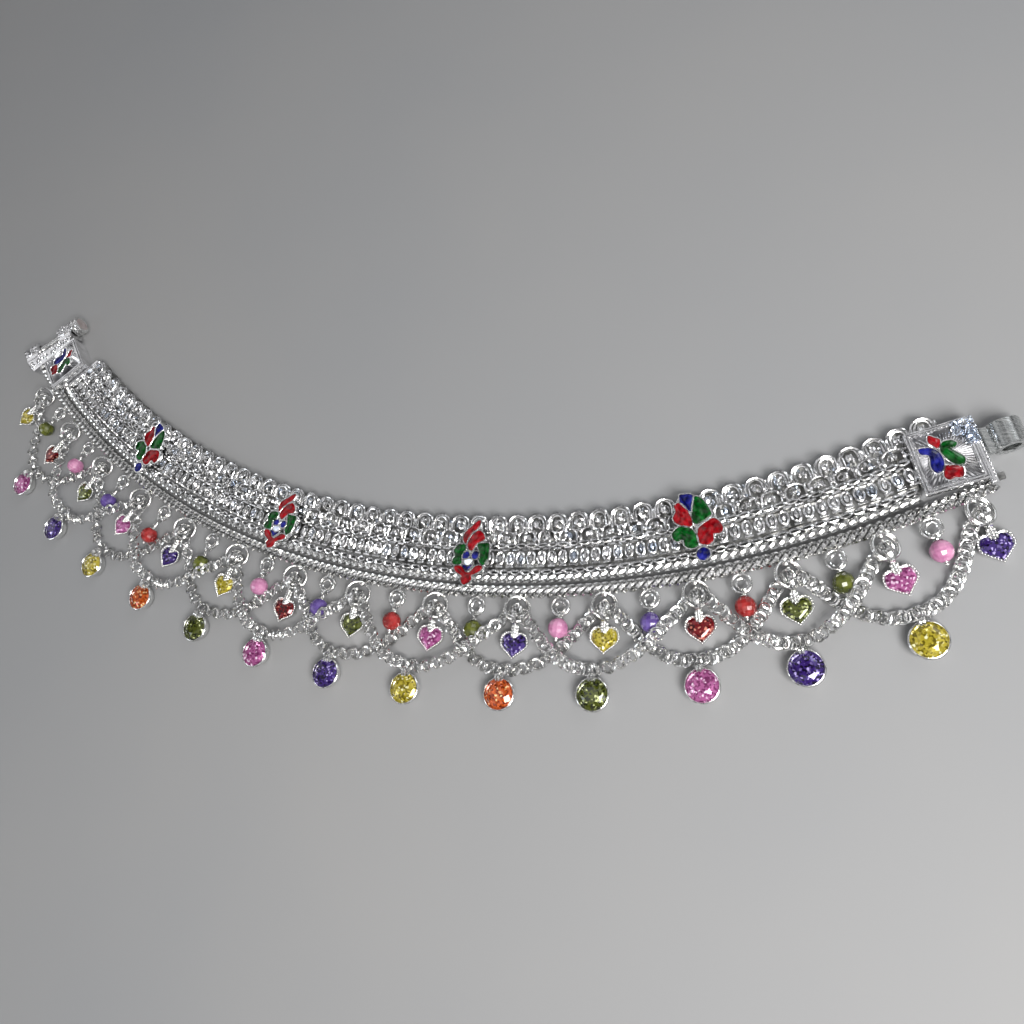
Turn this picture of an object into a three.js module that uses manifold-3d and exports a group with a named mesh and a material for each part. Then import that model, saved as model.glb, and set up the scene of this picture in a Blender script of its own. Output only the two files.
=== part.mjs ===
// Payal anklet, undone and laid open in an arc on a flat surface. Millimetres, +Z up.
// The origin is on the underside, at the middle of the band. +X runs towards the eye end,
// -Y towards the fringe. The band follows a circle round (0, MID_RADIUS).
// A place on the arc is given by its angle from the middle, in degrees, positive towards +X,
// and by its distance from the circle's centre.
import * as THREE from "three";
import { mergeVertices } from "three/addons/utils/BufferGeometryUtils.js";
import Module from "manifold-3d";

const wasm = await Module();
wasm.setup();

// Band
const MID_RADIUS = 199.45;
const WEAVE = {
  innerRadius: 190.7,
  outerRadius: 202.7,
  height: 3.0,
  leftEnd: -31.05,
  leftOuterEnd: -31.8,
  rightEnd: 32.6,
  tongueEnd: 34.9,
  tongueRadius: 192.6,
  links: 51,
  scallopDepth: 0.8,
  crestFrom: 0.3,
  crestTo: 0.7,
  outerSteps: 16,
};
const ROPE = { radius: 203.9, thickness: 0.9, height: 1.5, sides: 6, steps: 14 };
const EDGE = {
  radius: 206.6,
  thickness: 1.5,
  height: 1.5,
  leftEnd: -35.05,
  rightEnd: 35.9,
  sides: 8,
  steps: 16,
};

// Jump rings, soldered in the edge chain. The big ones are tilted about the radial direction,
// left side up, so that the swag chain can run under one side and over the other.
const BIG_RING = { at: 210.2, mean: 2.5, wire: 0.4, height: 2.4, tilt: 30 };
const SMALL_RING = { at: 209.75, mean: 1.75, wire: 0.35, height: 1.9 };
const WIRE_SIDES = 5;

// Swag chains
const SWAG = {
  thickness: 1.0,
  sides: 8,
  apexRadius: 210.47,
  dropGap: 4.75,
  halfSpan: 18,
  apexRounding: 4,
  sag: 2.4,
  lowHeight: 1.15,
  ringHeight: 2.5,
  overRingHeight: 3.3,
  humpHeight: 3.65,
};

// Charms
const HEART = { width: 5.7, stretch: 1.1, rim: 2.3, height: 2.8, table: 0.55 };

// The strip bail of a heart goes round the big ring and the chain in it, and ends in a neck.
const BAIL = { shift: 1.41, inner: 1.92, outer: 2.35, strip: 0.9, height: 2.4, neck: 0.7 };
const BEAD = {
  radius: 2.0,
  height: 2.1,
  tip: 0.35,
  loopMean: 0.9,
  loopWire: 0.22,
  loopShift: 0.1,
};
const DROP = {
  radius: 3.4,
  rim: 2.4,
  table: { radius: 1.6, height: 3.3 },
  loopMean: 0.9,
  loopWire: 0.3,
  loopHeight: 3.1,
  loopReach: 3.2,
};
const RING_SEGMENTS = 10;
const LOOP_SEGMENTS = 8;

// One row for each big ring, from the right end to the left: the ring's angle, how far below it
// its heart hangs and how far it swings sideways, the same for the bead in the small ring on its
// left, and the round drop below it. Angles in degrees, positive towards +X; lengths in millimetres,
// the drop's from the circle's centre.
const STATIONS = [
  { ring: 34.6, heart: [4.3, -6], bead: [2.6, -5] },
  { ring: 30.2, heart: [4.3, 4], bead: [2.6, -2], drop: [30.3, 227.4] },
  { ring: 25.6, heart: [4.3, -4], bead: [2.6, -5], drop: [25.2, 226.9] },
  { ring: 21.0, heart: [4.3, -3], bead: [2.8, -6], drop: [20.6, 226.9] },
  { ring: 16.2, heart: [4.3, -6], bead: [2.6, -10], drop: [15.4, 226.9] },
  { ring: 11.3, heart: [4.9, -5], bead: [3.1, -2], drop: [10.6, 227.0] },
  { ring: 6.3, heart: [4.7, -2], bead: [3.2, 0], drop: [5.3, 227.9] },
  { ring: 1.1, heart: [4.8, 4], bead: [3.7, -4], drop: [0.4, 228.3] },
  { ring: -3.6, heart: [5.6, -3], bead: [3.4, 4], drop: [-4.5, 228.9] },
  { ring: -8.5, heart: [5.6, -3], bead: [4.2, 2], drop: [-9.2, 229.4] },
  { ring: -13.5, heart: [5.8, -6], bead: [4.8, -6], drop: [-14.1, 229.9] },
  { ring: -18.4, heart: [6.2, -8], bead: [4.4, -5], drop: [-19.0, 230.9] },
  { ring: -23.3, heart: [6.4, -2], bead: [3.9, 4], drop: [-23.7, 231.0] },
  { ring: -28.2, heart: [6.4, -3], bead: [3.8, 2], drop: [-28.7, 230.0] },
  { ring: -32.9, heart: [6.0, -3] },
];

// Enamelled flowers on the band: x along the band, y towards its inner edge, from the middle
// of the flower. Each outline is a few points that a closed curve runs through.
const MOTIFS = [
  { angle: 21.6, radius: 198.0, flower: "fan" },
  { angle: 8.1, radius: 198.4, flower: "tulip" },
  { angle: -6.1, radius: 198.6, flower: "tulip" },
  { angle: -19.9, radius: 198.4, flower: "fan" },
];
const MOTIF = { gap: 0.3, thickness: 1.1, wall: 0.35, corners: 6 };
const STALK = { width: 0.9, thickness: 0.7, shift: 0.3, from: -5.4, length: 9.4 };
const FLOWERS = {
  fan: [
    [[-1.8, 6.5], [-0.6, 6.7], [0.5, 6.1], [0.0, 3.4], [-1.1, 4.6]],
    [[-3.0, 5.0], [-1.9, 5.0], [-0.6, 2.6], [-0.5, 0.5], [-2.6, 0.9], [-3.5, 2.6]],
    [[1.1, 5.8], [2.7, 4.3], [3.3, 2.0], [0.9, 0.6], [0.0, 2.4]],
    [[2.3, 0.6], [4.2, 0.5], [4.6, -1.6], [3.0, -3.3], [1.3, -3.6], [0.5, -1.2]],
    [[-4.2, -1.0], [-2.6, 0.4], [-0.6, -0.5], [-0.2, -3.4], [-2.0, -3.2]],
    [[0.8, -4.2], [1.9, -5.4], [0.7, -6.6], [-0.4, -5.3]],
  ],
  tulip: [
    [[2.0, 5.9], [1.4, 3.8], [-0.2, 0.8], [-1.2, 2.1], [-0.1, 4.2]],
    [[3.2, 3.0], [3.2, 1.5], [1.2, -0.5], [0.0, 0.3], [1.0, 2.8]],
    [[-0.7, 0.4], [-0.9, -1.6], [-1.2, -3.2], [-2.8, -3.4], [-2.9, -0.6]],
    [[2.4, 0.6], [4.6, 0.7], [4.7, -2.0], [3.8, -3.4], [2.8, -1.9]],
    [[-0.6, -1.6], [1.0, -0.6], [3.0, -1.6], [1.8, -3.4], [0.4, -4.7], [-0.7, -3.2]],
    [[-2.5, -4.2], [-0.9, -3.8], [0.6, -4.6], [2.4, -3.7], [3.5, -4.3], [0.3, -7.6]],
  ],
  plate: [
    [[-1.6, 4.0], [-0.6, 3.5], [-0.2, 2.1], [-1.4, 2.6]],
    [[-0.3, 1.8], [1.3, 2.4], [1.5, 0.8], [2.4, -1.3], [1.2, -2.1], [-0.3, -0.1]],
    [[-3.7, 2.1], [-1.6, 1.5], [-0.8, -0.7], [-1.7, -2.5], [-2.7, -1.3]],
    [[-0.8, -2.1], [1.3, -2.8], [0.8, -4.3], [-1.2, -4.0]],
  ],
};

// Clasp. Each end is a box under an enamelled plate. The right one carries a strip eye, the
// left one two knuckles; the screw pin passes through both knuckles and, when worn, the eye.
const RIGHT_END = { angle: 34.43, radius: 199.5, turn: -7.2 };
const LEFT_END = { angle: -33.2, radius: 199.2, turn: -11 };
const CLASP_BOX = { length: 10.5, outer: -4.6, inner: 5.4, height: 3.4 };
const PLATE = { length: 10.5, width: 11.8, top: 5.0, border: 0.8, recess: 0.5, enamel: 0.35 };
const RIGHT_SHOULDER = { start: 5.0, length: 1.2, top: 4.6, inner: 6.0, outer: -4.4, overhang: -7.0 };
const EYE = {
  start: 6.5,
  centre: 10.3,
  shift: 0.95,
  outer: 2.8,
  inner: 1.55,
  width: 4.8,
  tail: 1.8,
  sunk: 0.4,
};

// The screw's axis is the knuckle frame's y axis, and the screw is drawn out along +y.
const KNUCKLE_FRAME = { x: -11.8, y: -0.3, turn: -20 };
const KNUCKLE = { height: 2.6, outer: 2.35, bore: 1.3, inside: 3.7, outside: 8.3, foot: 0.3 };
const LEFT_SHOULDER = {
  back: 3.1,
  backFrom: -8.3,
  backTo: 8.0,
  outerFront: { x: 7.0, y: -6.5 },
  innerFront: { x: 4.75, y: 7.6 },
  top: 4.6,
};
const SCREW = { pin: 1.0, bevel: 0.3, tipAt: -8.0, capFrom: 8.6, cap: 2.5, capLength: 2.6, edge: 0.5 };
const ROUND_SIDES = 12;
const STONE_SIDES = 10;

// How deep one piece of a fused body reaches into the next.
const SINK = 0.05;

const silver = new THREE.MeshStandardMaterial({ color: 0xe6e6e8, roughness: 0.25, metalness: 1 });
const darkSilver = new THREE.MeshStandardMaterial({ color: 0xc9cacd, roughness: 0.35, metalness: 1 });
const enamel = new THREE.MeshStandardMaterial({ color: 0xb01420, roughness: 0.15 });
const gemColours = {
  violet: 0x5b3fb5,
  pink: 0xd98bc4,
  olive: 0x6b7a1e,
  red: 0xb8151c,
  yellow: 0xd6c832,
  orange: 0xe0561a,
};
const HEART_COLOURS = ["violet", "pink", "olive", "red", "yellow"];
const BEAD_COLOURS = ["pink", "olive", "red", "violet"];
const DROP_COLOURS = ["yellow", "violet", "pink", "olive", "orange"];

const root = new THREE.Group();
root.name = "payal_anklet";

function gem(colour) {
  return new THREE.MeshStandardMaterial({ color: gemColours[colour], roughness: 0.1 });
}

function radians(degrees) {
  return (degrees * Math.PI) / 180;
}

// The point at an angle and a distance from the circle's centre.
function onArc(angle, radius, z) {
  const a = radians(angle);
  return new THREE.Vector3(radius * Math.sin(a), MID_RADIUS - radius * Math.cos(a), z);
}

// A closed manifold solid from any closed geometry, whichever way its faces are wound.
function solid(geometry) {
  const bare = geometry.index ? geometry.toNonIndexed() : geometry.clone();
  bare.deleteAttribute("normal");
  bare.deleteAttribute("uv");
  const merged = mergeVertices(bare, 1e-4);
  const places = merged.getAttribute("position").array;
  const corners = merged.index.array;
  const kept = [];
  for (let i = 0; i < corners.length; i += 3) {
    const [a, b, c] = [corners[i], corners[i + 1], corners[i + 2]];
    if (a !== b && b !== c && c !== a) kept.push(a, b, c);
  }
  if (signedVolume(places, kept) < 0) kept.reverse();
  return new wasm.Manifold(
    new wasm.Mesh({
      numProp: 3,
      vertProperties: Float32Array.from(places),
      triVerts: Uint32Array.from(kept),
    }),
  );
}

function signedVolume(places, corners) {
  const point = (i) => new THREE.Vector3().fromArray(places, 3 * i);
  let sum = 0;
  for (let i = 0; i < corners.length; i += 3) {
    const a = point(corners[i]);
    const b = point(corners[i + 1]);
    const c = point(corners[i + 2]);
    sum += a.dot(b.cross(c));
  }
  return sum;
}

function geometryOf(manifold) {
  const mesh = manifold.getMesh();
  const geometry = new THREE.BufferGeometry();
  geometry.setAttribute("position", new THREE.BufferAttribute(mesh.vertProperties, 3));
  geometry.setIndex(new THREE.BufferAttribute(mesh.triVerts, 1));
  return geometry;
}

// One body from several overlapping geometries.
function fuse(geometries) {
  return geometryOf(geometries.map(solid).reduce((whole, piece) => whole.add(piece)));
}

function add(name, geometry, material, parent = root) {
  const mesh = new THREE.Mesh(geometry, material);
  mesh.name = name;
  parent.add(mesh);
  return mesh;
}

// A group whose x runs along the band, whose y points to the inner edge and whose z is up.
function frameAt(angle, radius, turn = 0, parent = root) {
  const group = new THREE.Group();
  group.position.copy(onArc(angle, radius, 0));
  group.rotation.z = radians(angle + turn);
  parent.add(group);
  return group;
}

// A curve through its corners that a tube follows with one step from corner to corner.
class CornerCurve extends THREE.Curve {
  constructor(corners) {
    super();
    this.corners = corners;
  }

  getPoint(t, target = new THREE.Vector3()) {
    const last = this.corners.length - 1;
    const place = Math.min(t * last, last - 1e-9);
    const index = Math.floor(place);
    return target.lerpVectors(this.corners[index], this.corners[index + 1], place - index);
  }

  getUtoTmapping(u) {
    return u;
  }
}

function roundSection(radius, sides) {
  const shape = new THREE.Shape();
  const corners = [];
  for (let k = 0; k < sides; k++) {
    const a = (2 * Math.PI * (k + 0.5)) / sides;
    corners.push(new THREE.Vector2(radius * Math.cos(a), radius * Math.sin(a)));
  }
  shape.setFromPoints(corners);
  return shape;
}

function tube(corners, radius, sides) {
  return new THREE.ExtrudeGeometry(roundSection(radius, sides), {
    steps: corners.length - 1,
    extrudePath: new CornerCurve(corners),
  });
}

function arcTube(size, leftEnd, rightEnd) {
  const corners = [];
  for (let k = 0; k <= size.steps; k++) {
    const angle = leftEnd + ((rightEnd - leftEnd) * k) / size.steps;
    corners.push(onArc(angle, size.radius, size.height));
  }
  return tube(corners, size.thickness, size.sides);
}

function ringGeometry(mean, wire, segments) {
  return new THREE.TorusGeometry(mean, wire, WIRE_SIDES, segments);
}

// A block from its lowest corner and its size.
function block(x, y, z, length, width, height) {
  return new THREE.BoxGeometry(length, width, height).translate(
    x + length / 2,
    y + width / 2,
    z + height / 2,
  );
}

// A closed body from one outline repeated at several scales and heights, lowest first.
function stacked(outline, layers) {
  const count = outline.length;
  const places = [];
  const faces = [];
  for (const layer of layers) {
    for (const corner of outline) {
      places.push(corner.x * layer.scale, corner.y * layer.scale, layer.z);
    }
  }
  const flat = THREE.ShapeUtils.triangulateShape(outline, []);
  const top = (layers.length - 1) * count;
  for (const [a, b, c] of flat) {
    faces.push(c, b, a, top + a, top + b, top + c);
  }
  for (let level = 0; level < top; level += count) {
    for (let k = 0; k < count; k++) {
      const next = (k + 1) % count;
      faces.push(level + k, level + next, level + count + next);
      faces.push(level + k, level + count + next, level + count + k);
    }
  }
  const geometry = new THREE.BufferGeometry();
  geometry.setAttribute("position", new THREE.Float32BufferAttribute(places, 3));
  geometry.setIndex(faces);
  return geometry;
}

// The band's outline: its outer side, then its scalloped inner side, which runs on as a narrow
// tongue behind the right plate.
function weave() {
  const { leftEnd, leftOuterEnd, rightEnd, tongueEnd, tongueRadius, links } = WEAVE;
  const outline = [];
  for (let k = 0; k <= WEAVE.outerSteps; k++) {
    const angle = leftOuterEnd + ((rightEnd - leftOuterEnd) * k) / WEAVE.outerSteps;
    outline.push(onArc(angle, WEAVE.outerRadius, 0));
  }
  const valley = WEAVE.innerRadius + WEAVE.scallopDepth;
  outline.push(onArc(rightEnd, tongueRadius, 0));
  outline.push(onArc(tongueEnd, tongueRadius, 0));
  outline.push(onArc(tongueEnd, valley, 0));
  const pitch = (tongueEnd - leftEnd) / links;
  for (let link = 0; link < links; link++) {
    const start = tongueEnd - link * pitch;
    outline.push(onArc(start - WEAVE.crestFrom * pitch, WEAVE.innerRadius, 0));
    outline.push(onArc(start - WEAVE.crestTo * pitch, WEAVE.innerRadius, 0));
    outline.push(onArc(start - pitch, valley, 0));
  }
  const shape = new THREE.Shape(outline.map((point) => new THREE.Vector2(point.x, point.y)));
  return new THREE.ExtrudeGeometry(shape, { depth: WEAVE.height, bevelEnabled: false });
}

function bigRing(angle) {
  const ring = ringGeometry(BIG_RING.mean, BIG_RING.wire, RING_SEGMENTS).rotateY(radians(BIG_RING.tilt));
  return placed(ring, angle, BIG_RING.at, BIG_RING.height);
}

function smallRing(angle) {
  const ring = ringGeometry(SMALL_RING.mean, SMALL_RING.wire, RING_SEGMENTS);
  return placed(ring, angle, SMALL_RING.at, SMALL_RING.height);
}

function placed(geometry, angle, radius, height) {
  const at = onArc(angle, radius, height);
  return geometry.rotateZ(radians(angle)).translate(at.x, at.y, at.z);
}

function smallRingAngle(index) {
  return (STATIONS[index].ring + STATIONS[index + 1].ring) / 2;
}

function edgeChain() {
  const pieces = [arcTube(EDGE, EDGE.leftEnd, EDGE.rightEnd)];
  STATIONS.forEach((station, index) => {
    pieces.push(bigRing(station.ring));
    if (index < STATIONS.length - 1) pieces.push(smallRing(smallRingAngle(index)));
  });
  return fuse(pieces);
}

// Where a swag runs, from its ring (distance 0) to its lowest point (distance halfSpan).
// The side is "left" where the chain leaves its ring leftwards, under the ring's raised side.
const SWAG_STEPS = [
  { distance: 2.8, left: "lowHeight", right: "overRingHeight" },
  { distance: 6.3, left: "lowHeight", right: "lowHeight", crossing: true },
  { distance: 11.5, left: "lowHeight", right: "lowHeight", crossing: true },
  { distance: 18, left: "lowHeight", right: "lowHeight" },
];

function swagRadius(distance, lowRadius) {
  const rounded = (s) => Math.hypot(s, SWAG.apexRounding) - SWAG.apexRounding;
  const share = rounded(distance) / rounded(SWAG.halfSpan);
  const depth = 1 - (1 - share) ** SWAG.sag;
  return SWAG.apexRadius + (lowRadius - SWAG.apexRadius) * depth;
}

function halfSwag(ringAngle, lowStation, side, arched) {
  const lowRadius = lowStation.drop[1] - SWAG.dropGap;
  return SWAG_STEPS.map((step) => {
    const share = step.distance / SWAG.halfSpan;
    const angle = ringAngle + (lowStation.drop[0] - ringAngle) * share;
    const height = arched && step.crossing ? SWAG.humpHeight : SWAG[step[side]];
    return onArc(angle, swagRadius(step.distance, lowRadius), height);
  });
}

// The chain through every second ring from a first one; an arched chain crosses over the other.
function swagChain(first, arched) {
  const corners = [onArc(STATIONS[first].ring, SWAG.apexRadius, SWAG.ringHeight)];
  for (let k = first; k + 2 < STATIONS.length; k += 2) {
    const low = STATIONS[k + 1];
    const down = halfSwag(STATIONS[k].ring, low, "left", arched);
    const up = halfSwag(STATIONS[k + 2].ring, low, "right", arched);
    corners.push(...down, ...up.slice(0, -1).reverse());
    corners.push(onArc(STATIONS[k + 2].ring, SWAG.apexRadius, SWAG.ringHeight));
  }
  return tube(corners, SWAG.thickness, SWAG.sides);
}

// A heart outline of a given width round its middle, with its point towards -y.
function heartOutline(width, count = 10) {
  const outline = [];
  for (let k = 0; k < count; k++) {
    const t = (2 * Math.PI * k) / count;
    const x = 16 * Math.sin(t) ** 3;
    const y = 13 * Math.cos(t) - 5 * Math.cos(2 * t) - 2 * Math.cos(3 * t) - Math.cos(4 * t);
    outline.push(new THREE.Vector2((x * width) / 32, ((y + 2.5) * width) / 32));
  }
  return outline.reverse();
}

// A strip round a hole that looks along the band, with a neck towards -y.
function bail(reach) {
  const { shift, inner, outer, strip, height, neck } = BAIL;
  const shape = roundSection(outer, RING_SEGMENTS);
  const corners = shape.getPoints();
  const outline = new THREE.Shape(corners);
  outline.holes.push(new THREE.Path(roundSection(inner, RING_SEGMENTS).getPoints()));
  const loop = new THREE.ExtrudeGeometry(outline, { depth: strip, bevelEnabled: false });
  loop.translate(0, 0, -strip / 2).rotateY(Math.PI / 2).translate(0, shift, height);
  const from = shift - (inner + outer) / 2;
  const to = HEART.width / 4 - reach;
  const stem = block(-strip / 2, to, height - neck, strip, from - to, 2 * neck);
  return [loop, stem];
}

function heart(reach) {
  const stone = stacked(heartOutline(HEART.width), [
    { scale: 1, z: 0 },
    { scale: 1, z: HEART.rim },
    { scale: HEART.table, z: HEART.height },
  ]);
  stone.scale(1, HEART.stretch, 1).translate(0, -reach, 0);
  return fuse([stone, ...bail(reach)]);
}

// A round bead on an axis along y, with a small tip towards -y and a tapered cap up to its loop.
function bead(reach) {
  const { radius, tip } = BEAD;
  const ring = (angle) => {
    const a = radians(angle);
    return new THREE.Vector2(radius * Math.cos(a), radius * Math.sin(a));
  };
  const profile = [
    new THREE.Vector2(0, -radius - 2 * tip),
    new THREE.Vector2(tip, -radius - tip),
    ring(-50),
    ring(0),
    ring(50),
    new THREE.Vector2(0, Math.max(radius, reach - BEAD.loopShift - BEAD.loopMean)),
  ];
  const stone = new THREE.LatheGeometry(profile, STONE_SIDES).translate(0, -reach, BEAD.height);
  const loop = ringGeometry(BEAD.loopMean, BEAD.loopWire, LOOP_SEGMENTS)
    .rotateY(Math.PI / 2)
    .translate(0, -BEAD.loopShift, SMALL_RING.height);
  return fuse([stone, loop]);
}

// A round stone in its bezel, with a loop that hooks over the swag chain's outer side.
function drop() {
  const { radius, rim, table } = DROP;
  const profile = [
    [0, 0],
    [radius, 0],
    [radius, rim],
    [table.radius, table.height],
    [0, table.height],
  ].map(([r, z]) => new THREE.Vector2(r, z));
  const bezel = new THREE.LatheGeometry(profile, STONE_SIDES).rotateX(Math.PI / 2);
  const loop = ringGeometry(DROP.loopMean, DROP.loopWire, LOOP_SEGMENTS)
    .rotateY(Math.PI / 2)
    .translate(0, DROP.loopReach, DROP.loopHeight);
  return fuse([bezel, loop]);
}

// The closed curve through a petal's points, grown by the silver wall round its enamel.
function petalOutline(points, wall) {
  const curve = new THREE.CatmullRomCurve3(
    points.map(([x, y]) => new THREE.Vector3(x, y, 0)),
    true,
  );
  const around = curve.getSpacedPoints(MOTIF.corners).slice(0, -1);
  const middle = around.reduce((sum, p) => sum.add(p), new THREE.Vector3());
  middle.divideScalar(around.length);
  return around.map((point) => {
    const out = point.clone().sub(middle);
    return new THREE.Vector2().copy(out.setLength(out.length() + wall).add(middle));
  });
}

function petals(flower, z, thickness) {
  return FLOWERS[flower].map((points) =>
    new THREE.ExtrudeGeometry(new THREE.Shape(petalOutline(points, MOTIF.wall)), {
      depth: thickness,
      bevelEnabled: false,
    }).translate(0, 0, z),
  );
}

// The box with its overhanging plate, sunk field and enamel petals, round the end's middle.
function claspBox(shoulder) {
  const { length, width, top, border, recess } = PLATE;
  const body = block(
    -CLASP_BOX.length / 2,
    CLASP_BOX.outer,
    0,
    CLASP_BOX.length,
    CLASP_BOX.inner - CLASP_BOX.outer,
    CLASP_BOX.height,
  );
  const lid = CLASP_BOX.height - SINK;
  const plate = block(-length / 2, -width / 2, lid, length, width, top - lid);
  const field = block(
    border - length / 2,
    border - width / 2,
    top - recess,
    length - 2 * border,
    width - 2 * border,
    2 * recess,
  );
  const enamelled = petals("plate", top - recess - SINK, PLATE.enamel + SINK);
  let whole = solid(body).add(solid(plate)).subtract(solid(field));
  for (const piece of [...enamelled, ...shoulder]) {
    whole = whole.add(solid(piece));
  }
  return geometryOf(whole);
}

function rightShoulder() {
  const { start, length, top, inner, outer, overhang } = RIGHT_SHOULDER;
  const base = block(start, outer, 0, length, inner - outer, top);
  const floor = CLASP_BOX.height;
  const shelf = block(start, overhang, floor, length, inner - overhang, top - floor);
  return [base, shelf];
}

// A strip bent into an eye: its hole runs across the band, its tail reaches to the box.
function eye() {
  const shape = roundSection(EYE.outer, ROUND_SIDES);
  shape.holes.push(new THREE.Path(roundSection(EYE.inner, ROUND_SIDES).getPoints()));
  const loop = new THREE.ExtrudeGeometry(shape, { depth: EYE.width, bevelEnabled: false })
    .rotateX(Math.PI / 2)
    .translate(EYE.centre, EYE.shift + EYE.width / 2, EYE.outer);
  const tail = block(
    EYE.start,
    EYE.shift - EYE.width / 2,
    EYE.outer - EYE.tail / 2,
    EYE.centre - EYE.inner - EYE.start - EYE.sunk,
    EYE.width,
    EYE.tail,
  );
  return fuse([loop, tail]);
}

// A knuckle: a barrel round the screw's axis and a foot that joins it to the shoulder.
function knuckle(from) {
  const { outer, inside, outside, foot, height } = KNUCKLE;
  const width = outside - inside;
  const barrel = new THREE.CylinderGeometry(outer, outer, width, ROUND_SIDES);
  barrel.translate(0, from + width / 2, height);
  return [barrel, block(0, from, foot, LEFT_SHOULDER.back + SINK, width, height + outer - 2 * foot)];
}

function knuckles() {
  const { back, backFrom, backTo, outerFront, innerFront, top } = LEFT_SHOULDER;
  const shape = new THREE.Shape();
  shape.moveTo(back, backFrom);
  shape.lineTo(outerFront.x, outerFront.y);
  shape.lineTo(innerFront.x, innerFront.y);
  shape.lineTo(back, backTo);
  const shoulder = new THREE.ExtrudeGeometry(shape, { depth: top, bevelEnabled: false });
  const through = 3 * KNUCKLE.outside;
  const bore = new THREE.CylinderGeometry(KNUCKLE.bore, KNUCKLE.bore, through, ROUND_SIDES);
  bore.translate(0, 0, KNUCKLE.height);
  const pieces = [shoulder, ...knuckle(KNUCKLE.inside), ...knuckle(-KNUCKLE.outside)];
  const whole = pieces.map(solid).reduce((body, piece) => body.add(piece));
  return geometryOf(whole.subtract(solid(bore)));
}

function screw() {
  const { pin, bevel, tipAt, capFrom, cap, capLength, edge } = SCREW;
  const profile = [
    [0, tipAt],
    [pin, tipAt],
    [pin, capFrom],
    [cap - bevel, capFrom],
    [cap, capFrom + edge],
    [cap, capFrom + capLength - edge],
    [cap - edge, capFrom + capLength],
    [0, capFrom + capLength],
  ].map(([r, y]) => new THREE.Vector2(r, y));
  const body = new THREE.LatheGeometry(profile, ROUND_SIDES);
  return fuse([body.translate(0, 0, KNUCKLE.height)]);
}

function number(index) {
  return String(index).padStart(2, "0");
}

add("band_weave", fuse([weave()]), silver);
add("rope_line", fuse([arcTube(ROPE, WEAVE.leftEnd, WEAVE.rightEnd)]), silver);
add("edge_chain", edgeChain(), silver);
add("swag_chain_even", fuse([swagChain(0, false)]), silver);
add("swag_chain_odd", fuse([swagChain(1, true)]), silver);

STATIONS.forEach((station, index) => {
  const colour = HEART_COLOURS[index % HEART_COLOURS.length];
  const hangRadius = BIG_RING.at + BIG_RING.mean;
  const [reach, swing] = station.heart;
  const frame = frameAt(station.ring, hangRadius, swing);
  add(`heart_${number(index + 1)}`, heart(reach), gem(colour), frame);
});
STATIONS.slice(0, -1).forEach((station, index) => {
  const colour = BEAD_COLOURS[index % BEAD_COLOURS.length];
  const hangRadius = SMALL_RING.at + SMALL_RING.mean;
  const [reach, swing] = station.bead;
  const frame = frameAt(smallRingAngle(index), hangRadius, swing);
  add(`bead_${number(index + 1)}`, bead(reach), gem(colour), frame);
});
STATIONS.slice(1, -1).forEach((station, index) => {
  const colour = DROP_COLOURS[index % DROP_COLOURS.length];
  const frame = frameAt(...station.drop);
  add(`drop_${number(index + 1)}`, drop(), gem(colour), frame);
});
MOTIFS.forEach((motif, index) => {
  const frame = frameAt(motif.angle, motif.radius);
  const base = WEAVE.height + MOTIF.gap;
  const { width, thickness, shift, from, length } = STALK;
  const stalk = block(shift - width / 2, from, base, width, length, thickness);
  const geometry = fuse([stalk, ...petals(motif.flower, base, MOTIF.thickness)]);
  add(`motif_${index + 1}`, geometry, enamel, frame);
});

const rightEnd = frameAt(RIGHT_END.angle, RIGHT_END.radius, RIGHT_END.turn);
add("clasp_box_right", claspBox(rightShoulder()), darkSilver, rightEnd);
add("clasp_eye", eye(), silver, rightEnd);

const leftEnd = frameAt(LEFT_END.angle, LEFT_END.radius, LEFT_END.turn);
add("clasp_box_left", claspBox([]), darkSilver, leftEnd);
const knuckleFrame = frameAt(LEFT_END.angle, LEFT_END.radius, KNUCKLE_FRAME.turn);
knuckleFrame.position.add(
  new THREE.Vector3(KNUCKLE_FRAME.x, KNUCKLE_FRAME.y, 0).applyAxisAngle(
    new THREE.Vector3(0, 0, 1),
    radians(LEFT_END.angle),
  ),
);
add("clasp_knuckles", knuckles(), darkSilver, knuckleFrame);
add("clasp_screw", screw(), silver, knuckleFrame);

export default root;
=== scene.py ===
"""Payal anklet, undone and laid open in an arc on a pale surface.

The band is woven from rows of silver links. A rope and a twisted chain run along its outer side,
with jump rings that carry heart stones, faceted beads and two swinging curb chains, and round
stones hang under the swags. Enamelled flowers sit on the band and on the clasp's two plates.
Lengths are in millimetres up to Pile.build, which makes metres of them. Angles are in degrees
from the middle of the arc, and distances from the centre of its circle.
"""

import math
import random

import bpy
from mathutils import Matrix, Vector

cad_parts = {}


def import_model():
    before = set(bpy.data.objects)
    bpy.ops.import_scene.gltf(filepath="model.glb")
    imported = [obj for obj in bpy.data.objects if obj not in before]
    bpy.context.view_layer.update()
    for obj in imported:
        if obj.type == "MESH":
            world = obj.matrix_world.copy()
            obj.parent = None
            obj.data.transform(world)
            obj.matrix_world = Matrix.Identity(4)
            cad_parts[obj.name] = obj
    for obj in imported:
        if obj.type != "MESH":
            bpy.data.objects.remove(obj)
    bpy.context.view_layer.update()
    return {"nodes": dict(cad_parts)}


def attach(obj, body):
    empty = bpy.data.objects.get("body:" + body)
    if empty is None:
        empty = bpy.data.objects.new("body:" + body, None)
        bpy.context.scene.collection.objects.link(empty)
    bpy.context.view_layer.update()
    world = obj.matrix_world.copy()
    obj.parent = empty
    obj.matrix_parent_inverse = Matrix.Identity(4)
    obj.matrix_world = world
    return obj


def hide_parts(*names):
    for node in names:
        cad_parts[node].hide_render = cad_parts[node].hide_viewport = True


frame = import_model()
chance = random.Random(11)

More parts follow.
